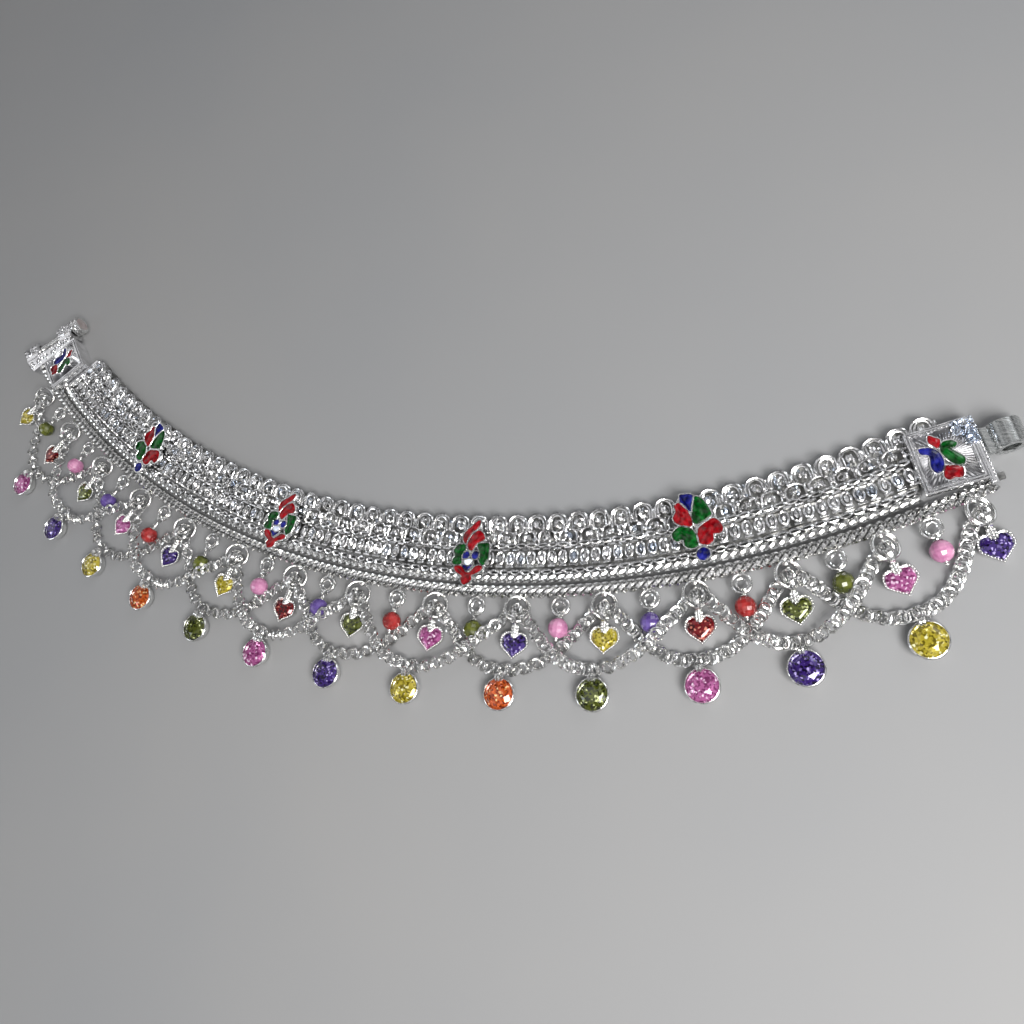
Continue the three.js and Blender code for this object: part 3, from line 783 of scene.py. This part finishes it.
def heart_outline(width, count):
    outline = []
    for k in range(count):
        t = -2 * math.pi * k / count
        x = 16 * math.sin(t) ** 3
        y = 13 * math.cos(t) - 5 * math.cos(2 * t) - 2 * math.cos(3 * t) - math.cos(4 * t)
        y = max(y, -12.5 + 0.5 * (y + 12.5))
        fuller = 1 + 0.16 * math.sin(math.pi * min(max((4 - y) / 21, 0), 1))
        outline.append(Vector((x * fuller * width / 32, HEART_STRETCH * (y + 2.5) * width / 32, 0)))
    return outline if signed_area(outline) > 0 else outline[::-1]


def scaled(outline, share, z):
    return [Vector((p.x * share, p.y * share, z)) for p in outline]


def heart_setting(pile, place):
    """The bezel with a row of grains on its rim."""
    outline = heart_outline(HEART_WIDTH, 36)
    levels = ((0.8, 0.1), (0.95, 0.9), (1.0, 1.9), (0.95, 2.15), (0.84, 2.0))
    pile.add(layered([scaled(outline, share, z) for share, z in levels]), place)
    rim = scaled(outline, 0.97, 2.12)
    for point, _ in evenly(rim + rim[:1], 0.5)[:-1]:
        pile.add(ball(0.25, 6, 4), place @ Matrix.Translation(point))


def heart_stone():
    """A heart cut: girdle, crown facets and a flat table."""
    girdle = heart_outline(HEART_WIDTH, 20)
    levels = ((0.87, 1.8), (0.87, 2.15), (0.66, 2.6), (0.46, 2.75))
    return layered([scaled(girdle, share, z) for share, z in levels], bottom=False)


def round_crown(radius, girdle, top):
    """A round brilliant's upper side, with its table."""
    shoulder = girdle + (top - girdle) * 0.62
    corners = [polar(radius, math.pi * k / 8, girdle) for k in range(16)]
    corners += [polar(radius * 0.78, math.pi * k / 4, shoulder) for k in range(8)]
    corners += [polar(radius * 0.5, math.pi * (k + 0.5) / 4, top) for k in range(8)]
    faces = [tuple(range(24, 32))]
    for k in range(8):
        n = (k + 1) % 8
        a, b, c = 2 * k, 2 * k + 1, (2 * k + 2) % 16
        faces += [(a, b, 16 + k), (b, 16 + n, 16 + k), (b, c, 16 + n)]
        faces += [(16 + k, 16 + n, 24 + k), (16 + n, 24 + n, 24 + k)]
    return corners, faces


def strip_loop():
    """The folded strip, with a low ridge along its middle."""
    inner, outer, half = BAIL["inner"], BAIL["outer"] - 0.05, 0.5
    section = [(inner, half), (inner, -half), (outer, -half * 0.8), (outer + 0.08, 0), (outer, half * 0.8)]
    steps = 28
    corners = []
    for k in range(steps):
        a = 2 * math.pi * k / steps
        for radius, x in section:
            y, z = radius * math.cos(a) + BAIL["shift"], radius * math.sin(a) + BAIL["height"]
            corners.append(Vector((x, y, z)))
    return corners, bands(steps, len(section), closed=True)


def strip_bail(pile, place, reach):
    """A strip round the ring and the chain in it, with a grained neck down to the heart."""
    pile.add(strip_loop(), place)
    top, bottom = BAIL["shift"] - BAIL["outer"], 1.7 - reach
    rows = max(2, round((top - bottom) / 0.6))
    for row in range(rows + 1):
        y = top + (bottom - top) * row / rows
        for x in (-0.55, 0, 0.55):
            pile.add(ball(0.36, 7, 4), place @ moved(x, y - 0.15 * abs(x), 2.3 + 0.35 * (x == 0)))
    pile.add(box(-0.45, 0.45, bottom - 0.3, top + 0.4, 1.3, 2.6), place)
    for side in (-1, 1):
        pile.add(ball(0.4, 7, 4), place @ moved(1.15 * side, bottom - 0.05, 2.2))
        pile.add(ball(0.32, 7, 4), place @ moved(1.75 * side, bottom - 0.15, 2.15))


def set_stone(name, shape, place, colour, materials):
    cut = Pile()
    cut.add(shape, place)
    cut.build(name + "_stone", [materials[colour]], slot="gem_" + colour, crease=0, nodes=[name])


def hearts():
    stone = heart_stone()
    for index, (ring, (reach, swing), _, _) in enumerate(STATIONS):
        name = f"heart_{index + 1:02d}"
        colour = HEART_COLOURS[index % len(HEART_COLOURS)]
        place = at(ring, BIG_RING["at"] + BIG_RING["mean"], 0, swing)
        metalwork = Pile()
        heart_setting(metalwork, place @ moved(0, -reach))
        strip_bail(metalwork, place, reach)
        metalwork.build(name + "_setting", [CHAIN], slot="chain", crease=50)
        set_stone(name, stone, place @ moved(0, -reach), colour, GEMS)


def beads():
    stone = ball(2.0, 14, 9)
    cap = lathe([(0.95, 0), (0.8, 0.2), (0.35, 0.36), (0, 0.4)], 12)
    foot = lathe([(0.45, 0), (0.42, 0.12), (0, 0.2)], 10)
    for index, (ring, _, (reach, swing), _) in enumerate(STATIONS[:-1]):
        name = f"bead_{index + 1:02d}"
        colour = BEAD_COLOURS[index % len(BEAD_COLOURS)]
        middle = (ring + STATIONS[index + 1][0]) / 2
        place = at(middle, SMALL_RING["at"] + SMALL_RING["mean"], 0, swing)
        metalwork = Pile()
        metalwork.add(upright(wire(ellipse(0.9, 0.9, 16), 0.22, 6)), place @ moved(0, -0.1, 1.9))
        if reach > 3.0:
            metalwork.add(box(-0.22, 0.22, 1.9 - reach, -0.9, 1.8, 2.2, 0.1), place)
            metalwork.add(wire(ellipse(0.34, 0.34, 10), 0.16, 5), place @ moved(0, 1.2 - reach * 0.7, 2.0))
        metalwork.add(cap, place @ moved(0, 1.85 - reach, BEAD_HEIGHT) @ turned(-90, "X"))
        metalwork.add(foot, place @ moved(0, -1.95 - reach, BEAD_HEIGHT) @ turned(90, "X"))
        metalwork.add(ball(0.36, 10, 6), place @ moved(0, -2.35 - reach, BEAD_HEIGHT))
        metalwork.build(name + "_wire", [CHAIN], slot="chain", crease=50)
        set_stone(name, stone, place @ moved(0, -reach, BEAD_HEIGHT) @ turned(90, "X"), colour, BEADS)


def drops():
    profile = [(0, 0.05), (2.3, 0.05), (2.7, 0.3), (3.15, 1.3), (3.3, 1.9), (3.35, 2.2)]
    profile += [(3.25, 2.42), (3.05, 2.48), (2.9, 2.3), (2.86, 1.9), (0, 1.9)]
    bezel = lathe(profile, 40)
    stone = round_crown(2.9, 2.05, 2.9)
    for index, (_, _, _, drop) in enumerate(STATIONS[1:-1]):
        name = f"drop_{index + 1:02d}"
        colour = DROP_COLOURS[index % len(DROP_COLOURS)]
        place = at(*drop)
        metalwork = Pile()
        metalwork.add(bezel, place)
        for x in (-0.3, 0.3):
            metalwork.add(upright(wire(ellipse(0.95, 0.95, 18), 0.24, 6)), place @ moved(x, 3.35, 2.9))
        metalwork.build(name + "_bezel", [CHAIN], slot="chain", crease=50)
        set_stone(name, stone, place @ turned(chance.uniform(0, 45)), colour, GEMS)


hearts()
beads()
drops()


# enamelled flowers


def round_petal(x, y, radius):
    angles = [k * math.pi / 4 for k in range(8)]
    return [(x + radius * math.cos(a), y + radius * math.sin(a)) for a in angles]


# Each flower's petals: the enamel's colour, and the petal's outline round the flower's middle.
FAN = [
    ("blue", [(-1.6, 6.8), (0.6, 6.2), (0, 3.6), (-0.3, 3.2), (-1.8, 5.2), (-1.8, 6.5)]),
    ("red", [(-3.1, 5.0), (-1.9, 5.1), (-0.7, 3.0), (-0.5, 0.3), (-3.0, 1.2), (-3.7, 2.5), (-3.0, 3.8)]),
    (
        "green",
        [(1.1, 5.9), (2.4, 4.9), (3.4, 2.2), (3.0, 1.4), (0.8, 0.5), (-0.1, 1.1), (0, 3.3), (0.6, 5.3)],
    ),
    (
        "red",
        [(3.9, 0.9), (5.0, -0.9), (4.5, -2.1), (3.2, -2.0), (2.8, -3.4)]
        + [(1.6, -3.8), (0.2, -2.9), (0.6, -0.5), (2.1, 0.5)],
    ),
    (
        "green",
        [(-4.3, -0.3), (-2.8, 0.6), (-0.9, -0.1), (0.1, -1.9), (-0.1, -3.7)]
        + [(-1.3, -3.9), (-2.3, -3.3), (-2.5, -2.0), (-3.6, -2.1), (-4.3, -1.5)],
    ),
    ("blue", round_petal(0.7, -5.4, 1.2)),
]
TULIP = [
    (
        "red",
        [(1.9, 5.9), (2.0, 4.5), (0.8, 3.3), (-0.1, 1.8), (-0.3, 0.7), (-1.2, 1.5), (-1.2, 2.9), (0, 4.2)],
    ),
    (
        "red",
        [(3.2, 2.8), (3.5, 1.7), (2.1, 1.0), (1.1, -0.6), (0.1, -0.2), (-0.2, 1.1), (0.7, 2.7), (2.1, 3.6)],
    ),
    (
        "green",
        [(-0.7, 0.5), (-0.5, -0.8), (-1.2, -2.2), (-1.0, -3.4), (-2.7, -3.7)]
        + [(-3.2, -2.9), (-2.7, -1.8), (-3.1, -0.7), (-2.3, 0.4)],
    ),
    (
        "green",
        [(2.1, 0.6), (3.0, 0.9), (4.6, 0.9), (4.8, -0.6)]
        + [(4.8, -2.4), (3.8, -3.6), (2.8, -2.6), (2.8, -1.1)],
    ),
    ("blue", round_petal(-0.2, -1.7, 0.8)),
    ("blue", round_petal(1.9, -1.6, 0.8)),
    ("pale", [(-0.4, -2.7), (0.4, -2.5), (1.3, -2.7), (1.0, -3.4), (0.4, -3.8), (-0.2, -3.4)]),
    ("blue", [(-0.8, -3.7), (0.4, -4.0), (1.6, -3.6), (0.7, -4.8), (0.3, -4.9)]),
    (
        "red",
        [(-2.5, -4.2), (-1.1, -4.0), (0.2, -5.2), (1.1, -5.2), (2.3, -3.9), (3.6, -3.9), (3.6, -4.7)]
        + [(1.7, -5.9), (1.6, -7.0), (0.1, -7.8), (-0.8, -6.7), (-0.6, -6.0), (-2.0, -5.2)],
    ),
]
PLATE_FLOWER = [
    ("red", [(-0.2, 4.2), (0.5, 3.5), (1.1, 2.7), (0.2, 1.5), (-0.3, 2.3), (-0.7, 3.2)]),
    (
        "green",
        [(0.6, 1.5), (1.4, 2.2), (2.5, 2.0), (3.2, 1.1), (2.5, 0.5), (1.9, 0.6)]
        + [(2.4, -0.4), (3.1, -1.9), (2.3, -2.9), (1.2, -2.1), (0.6, -0.8), (0.3, 0.7)],
    ),
    (
        "blue",
        [(-2.7, 2.6), (-2.1, 2.6), (-1.0, 2.1), (-0.1, 0.9), (0, -0.7), (-0.5, -1.9)]
        + [(-1.3, -2.6), (-2.1, -2.3), (-2.3, -1.1), (-1.8, 0.2), (-1.8, 1.1), (-2.7, 1.6)],
    ),
    (
        "red",
        [(-0.4, -2.1), (0.3, -2.0), (1.9, -3.0), (1.8, -4.1)]
        + [(1.2, -4.8), (0.2, -4.4), (-0.6, -4.5), (-1.2, -3.6)],
    ),
]
MOTIFS = [(21.6, 198.0, FAN), (8.1, 198.0, TULIP), (-6.1, 198.2, TULIP), (-19.9, 198.4, FAN)]


def flower(petals, metalwork, glaze, place, bottom, top, wall=0.26):
    """Each petal is a silver cell with a thin wall, filled with slightly domed enamel."""
    for colour, points in petals:
        outline = closed_curve(points)
        rim = grown(outline, wall)
        cell = [
            lifted(rim, bottom),
            lifted(rim, top - 0.06),
            lifted(grown(outline, wall * 0.8), top),
            lifted(grown(outline, wall * 0.2), top),
            lifted(outline, top - 0.06),
            lifted(outline, top - 0.3),
        ]
        filling = [
            lifted(outline, top - 0.14),
            lifted(grown(outline, -0.07), top - 0.05),
            lifted(grown(outline, -0.15), top),
        ]
        metalwork.add(layered(cell), place)
        glaze.add(layered(filling, bottom=False), place, list(ENAMELS).index(colour))


def motifs():
    for index, (angle, radius, petals) in enumerate(MOTIFS):
        name = f"motif_{index + 1}"
        metalwork, glaze = Pile(), Pile()
        place = at(angle, radius)
        metalwork.add(box(-0.15, 0.75, -5.4, 4.0, 3.3, 4.0), place)
        flower(petals, metalwork, glaze, place, 3.3, 4.4)
        metalwork.build(name + "_cells", [SILVER], slot="silver", nodes=[name])
        glaze.build(name + "_enamel", list(ENAMELS.values()), slot="enamel")


motifs()


# clasp

PLATE_X, PLATE_Y = 5.25, 5.9
FIELD_INSET = 0.95
RIGHT_TURN = 7.2
RIGHT_PLACE = at(34.43, 199.5, 0, -RIGHT_TURN)
LEFT_ANGLE, LEFT_RADIUS = -33.2, 199.2
LEFT_PLACE = at(LEFT_ANGLE, LEFT_RADIUS, 0, -11)
FLOWER_SHIFT = turned(RIGHT_TURN) @ moved(-0.8, 0.2)


def sunburst(half_x, half_y, z, height, count, side):
    """One flank of each fine ridge of a field that runs out from its middle to its edges."""
    corners = [Vector((0, 0, z + height / 2))]
    for k in range(count):
        a = 2 * math.pi * k / count
        reach = min(half_x / max(abs(math.cos(a)), 1e-6), half_y / max(abs(math.sin(a)), 1e-6))
        corners.append(polar(reach, a, z + (height if k % 2 else 0)))
    faces = [(0, k + 1, (k + 1) % count + 1) for k in range(side, count, 2)]
    return corners, faces


def clasp_plate(name, node, place):
    metalwork, glaze = Pile(), Pile()
    field_x, field_y = PLATE_X - FIELD_INSET, PLATE_Y - FIELD_INSET
    metalwork.add(box(-PLATE_X, PLATE_X, -4.6, 5.4, 0, 3.45), place)
    metalwork.add(box(-PLATE_X, PLATE_X, -PLATE_Y, PLATE_Y, 3.4, 4.45, 0.1), place)
    metalwork.add(frame_bar(PLATE_X, PLATE_Y, 0.42, 4.3, 4.75), place)
    metalwork.add(frame_bar(PLATE_X - 0.4, PLATE_Y - 0.4, 0.5, 4.3, 5.0), place)
    metalwork.add(frame_bar(field_x, field_y, 0.22, 4.3, 4.72), place)
    # Every other flank of the ridges is in the dark metal: painted shade.
    for side in (0, 1):
        metalwork.add(sunburst(field_x, field_y, 4.44, 0.3, 104, side), place, side)
    flower(PLATE_FLOWER, metalwork, glaze, place @ FLOWER_SHIFT, 4.4, 4.95, 0.22)
    metalwork.build(name + "_plate", [CLASP, SHADED_FLANK], slot="clasp", crease=20, nodes=[node])
    glaze.build(name + "_enamel", list(ENAMELS.values()), slot="enamel")


clasp_plate("right", "clasp_box_right", RIGHT_PLACE)
clasp_plate("left", "clasp_box_left", LEFT_PLACE)


def right_shoulder():
    """Stepped mouldings beyond the plate, a corner of grains in bluish silver that paints in their glints,
    and a small square nub in painted shade.
    """
    pile = Pile()
    pile.add(box(5.0, 6.2, -4.4, 6.0, 0, 3.6), RIGHT_PLACE)
    pile.add(box(5.0, 6.2, -6.9, 6.0, 3.4, 4.1), RIGHT_PLACE)
    pile.add(box(5.2, 5.75, -6.6, 5.8, 4.0, 4.6), RIGHT_PLACE)
    for k in range(16):
        pile.add(ball(0.3, 7, 4), RIGHT_PLACE @ moved(5.95, -5.6 + 0.72 * k, 4.1))
    # The small square nub is dark metal: painted shade.
    pile.add(box(5.9, 7.7, -6.1, -5.0, 1.6, 2.7), RIGHT_PLACE, 1)
    pile.build("right_shoulder", [CLASP, SHADE], slot="clasp")
    # Grains in bluish silver: painted bluish glints.
    grains = Pile()
    for _ in range(150):
        x, y = chance.uniform(2.4, 5.9), chance.uniform(0.8, 5.5)
        if x < 3.6 and y < 2.6:
            continue
        grain = ball(chance.uniform(0.2, 0.42), 5, 3)
        grains.add(grain, RIGHT_PLACE @ moved(x, y, chance.uniform(4.75, 5.15)) @ jitter(80))
    grains.build("right_grains", [BLUE_GLINT_SILVER], slot="clasp", crease=0)


right_shoulder()


def strip_eye():
    """The strip bent round into an eye, with rounded edges."""
    centre, shift, outer, inner, half, edge = 10.3, 0.95, 2.8, 1.55, 2.4, 0.15
    section = [
        (inner, -half + edge),
        (inner + edge, -half),
        (outer - edge, -half),
        (outer, -half + edge),
        (outer, half - edge),
        (outer - edge, half),
        (inner + edge, half),
        (inner, half - edge),
    ]
    steps = 40
    corners = []
    for k in range(steps):
        a = 2 * math.pi * k / steps
        for radius, y in section:
            corners.append(Vector((centre + radius * math.cos(a), shift + y, outer + radius * math.sin(a))))
    pile = Pile()
    pile.add((corners, bands(steps, len(section), closed=True)), RIGHT_PLACE)
    pile.add(box(6.5, centre - inner - 0.3, shift - half, shift + half, 1.9, 3.7, 0.2), RIGHT_PLACE)
    pile.build("eye_strip", [STRIP], slot="screw", nodes=["clasp_eye"])


strip_eye()

KNUCKLE_TURN = 20
HINGE = on_arc(LEFT_ANGLE, LEFT_RADIUS) + turned(LEFT_ANGLE).to_3x3() @ Vector((-11.8, -0.3, 0))
KNUCKLE_PLACE = Matrix.Translation(HINGE) @ turned(LEFT_ANGLE - KNUCKLE_TURN)
AXIS_HEIGHT = 2.6


def tube_along_y(sections, inner, sides=28):
    """A hollow barrel round the screw's axis, from (y, radius) pairs."""
    loop = sections + [(sections[-1][0], inner), (sections[0][0], inner)]
    corners = []
    for k in range(sides):
        a = 2 * math.pi * k / sides
        for y, radius in loop:
            corners.append(Vector((radius * math.cos(a), y, AXIS_HEIGHT + radius * math.sin(a))))
    return corners, flipped(bands(sides, len(loop), closed=True))


def knuckle_sections(start, end):
    """A barrel with a bead at each end and one round its middle."""
    middle = (start + end) / 2
    bead = ((0, 2.0), (0.15, 2.3), (0.7, 2.3), (0.85, 2.05))
    sections = [(start + y, radius) for y, radius in bead]
    sections += [(middle - 0.6, 2.1), (middle - 0.3, 2.3), (middle + 0.3, 2.3), (middle + 0.6, 2.1)]
    return sections + [(end - y, radius) for y, radius in reversed(bead)]


def spiral(turns, radius, steps=26):
    path = []
    for k in range(steps + 1):
        share = k / steps
        a = 2 * math.pi * turns * share
        path.append(polar(radius * (0.15 + 0.85 * share), a))
    return path


def knuckles():
    pile = Pile()
    outline = [Vector((2.6, -8.2, 0)), Vector((7.0, -6.5, 0)), Vector((4.75, 7.6, 0)), Vector((2.6, 7.9, 0))]
    pile.add(layered([outline, lifted(outline, 4.2), lifted(grown(outline, -0.2), 4.4)]), KNUCKLE_PLACE)
    for start, end in ((3.7, 8.3), (-8.3, -3.7)):
        pile.add(tube_along_y(knuckle_sections(start, end), 1.3), KNUCKLE_PLACE)
        pile.add(box(1.5, 3.4, start, end, 0.3, 4.5, 0.3), KNUCKLE_PLACE)
    for y in (-6.4, -3.9, -1.4, 1.2, 3.8, 6.3):
        curl = wire(spiral(1.25 if y > 0 else -1.25, 1.15), 0.22, 6, closed=False)
        place = KNUCKLE_PLACE @ moved(4.6 - 0.09 * y, y, 4.4)
        pile.add(curl, place @ turned(chance.uniform(0, 360)))
        pile.add(ball(0.36, 8, 5), place @ moved(0, 0, 0.1))
    rosette = KNUCKLE_PLACE @ moved(0.1, 5.9, 4.75)
    pile.add(ball(0.5, 8, 5), rosette)
    for k in range(8):
        pile.add(ball(0.42, 7, 4, (1.15, 0.8, 0.8)), rosette @ turned(45 * k) @ moved(1.0, 0, -0.12))
    for k in range(22):
        pile.add(ball(0.26, 6, 4), KNUCKLE_PLACE @ moved(2.95, -7.6 + 0.71 * k, 4.4))
    pile.build("knuckle_barrels", [CLASP], slot="clasp", nodes=["clasp_knuckles"])


knuckles()


def screw():
    """The pin with its thread and its round cap with a bright rim; the cap's face is tinted pink, a painted
    reflection.
    """
    profile = [(0, -8.0), (0.7, -8.0), (0.95, -7.7)]
    y = -7.5
    while y < 3.4:
        profile += [(0.98, y), (0.98, y + 0.2), (0.84, y + 0.3), (0.84, y + 0.42)]
        y += 0.55
    profile += [(0.98, 3.6), (0.98, 8.6), (2.1, 8.6), (2.42, 8.8), (2.48, 9.1), (2.48, 9.7), (2.4, 9.9)]
    profile += [(2.25, 9.95), (2.25, 10.25), (2.45, 10.4), (2.5, 10.7), (2.4, 11.05), (2.15, 11.18)]
    place = KNUCKLE_PLACE @ moved(0, 0, AXIS_HEIGHT) @ turned(-90, "X")
    pile = Pile()
    pile.add(lathe(profile + [(1.9, 11.1)], 32), place)
    # The cap's face in pinkish silver: painted pink reflection.
    pile.add(lathe([(1.92, 11.0), (1.7, 11.14), (1.0, 11.19), (0, 11.2)], 32), place, 1)
    pile.build("screw_pin", [CHAIN, CAP_PINK_REFLECTION], body="screw", slot="screw", nodes=["clasp_screw"])


screw()

for node in frame["nodes"].values():
    node.data.materials.clear()
    node.data.materials.append(CLASP)


# surface, light and camera


def floor():
    mesh = bpy.data.meshes.new("surface")
    size = 1.6
    mesh.from_pydata(rectangle(-size, size, -size, size), [], [(0, 1, 2, 3)])
    material, nodes, links, shader = new_material("paper")
    shader.inputs["Roughness"].default_value = 0.7
    shader.inputs["Specular IOR Level"].default_value = 0.25
    cloud = noise(nodes, links, 9.0, 3.0)
    stops = [(0.3, (0.262, 0.268, 0.278)), (0.7, (0.286, 0.286, 0.288))]
    coloured(nodes, links, cloud, stops, shader.inputs["Base Color"])
    mesh.materials.append(material)
    surface = bpy.data.objects.new("surface", mesh)
    bpy.context.scene.collection.objects.link(surface)


floor()


def area_light(name, place, target, width, depth, power, colour):
    data = bpy.data.lights.new(name, "AREA")
    data.shape = "RECTANGLE"
    data.size, data.size_y = width, depth
    data.energy = power
    data.color = colour
    lamp = bpy.data.objects.new(name, data)
    lamp.location = place
    lamp.rotation_euler = (Vector(target) - Vector(place)).to_track_quat("-Z", "Y").to_euler()
    bpy.context.scene.collection.objects.link(lamp)


area_light("ceiling", (0.3, -0.12, 0.3), (0.06, 0, 0), 0.18, 0.18, 2.1, (1.0, 0.985, 0.965))
area_light("window", (0.3, 0.55, 0.45), (0.05, 0, 0), 0.16, 0.3, 0.5, (0.93, 0.97, 1.0))
area_light("lamp", (0.2, -0.2, 0.5), (0, 0, 0), 0.04, 0.04, 0.5, (1.0, 0.97, 0.9))
area_light("side", (-0.4, -0.25, 0.3), (-0.1, 0.02, 0), 0.08, 0.2, 0.25, (0.9, 0.95, 1.0))


def world():
    """A plain pale room, with bright and dark patches that only the metal mirrors."""
    made = bpy.data.worlds.new("room")
    bpy.context.scene.world = made
    made.use_nodes = True
    nodes, links = made.node_tree.nodes, made.node_tree.links
    background = nodes["Background"]
    background.inputs["Strength"].default_value = 0.48
    place = nodes.new("ShaderNodeTexCoord").outputs["Generated"]
    patches = nodes.new("ShaderNodeTexNoise")
    patches.inputs["Scale"].default_value = 4.5
    patches.inputs["Detail"].default_value = 1.5
    links.new(place, patches.inputs["Vector"])
    plain = nodes.new("ShaderNodeMix")
    plain.data_type = "RGBA"
    links.new(nodes.new("ShaderNodeLightPath").outputs["Is Camera Ray"], plain.inputs[0])
    dark, dim = (0.01, 0.01, 0.012), (0.3, 0.3, 0.31)
    pale, bright = (1.0, 1.0, 1.01), (2.3, 2.3, 2.35)
    stops = [(0.44, dark), (0.49, dim), (0.55, pale), (0.66, bright)]
    coloured(nodes, links, patches.outputs["Fac"], stops, plain.inputs[6])
    plain.inputs[7].default_value = (0.95, 0.95, 0.96, 1)
    links.new(plain.outputs[2], background.inputs["Color"])


world()

bpy.context.scene.view_settings.view_transform = "Standard"

RIGHT = Vector((0.89951, 0.24839, -0.35942))
DOWN = Vector((0.15236, -0.94935, -0.2748))
FORWARD = Vector((-0.40948, 0.19242, -0.8918))
CAMERA_PLACE = Vector((106.93, -21.21, 159.7)) * MM
FOCAL_SHARE = 850 / 1024

lens = bpy.data.cameras.new("camera")
lens.sensor_width = 36.0
lens.lens = FOCAL_SHARE * lens.sensor_width
lens.clip_start = 0.005
camera = bpy.data.objects.new("camera", lens)
axes = Matrix((RIGHT, -DOWN, -FORWARD)).transposed().to_4x4()
camera.matrix_world = Matrix.Translation(CAMERA_PLACE) @ axes
bpy.context.scene.collection.objects.link(camera)
bpy.context.scene.camera = camera
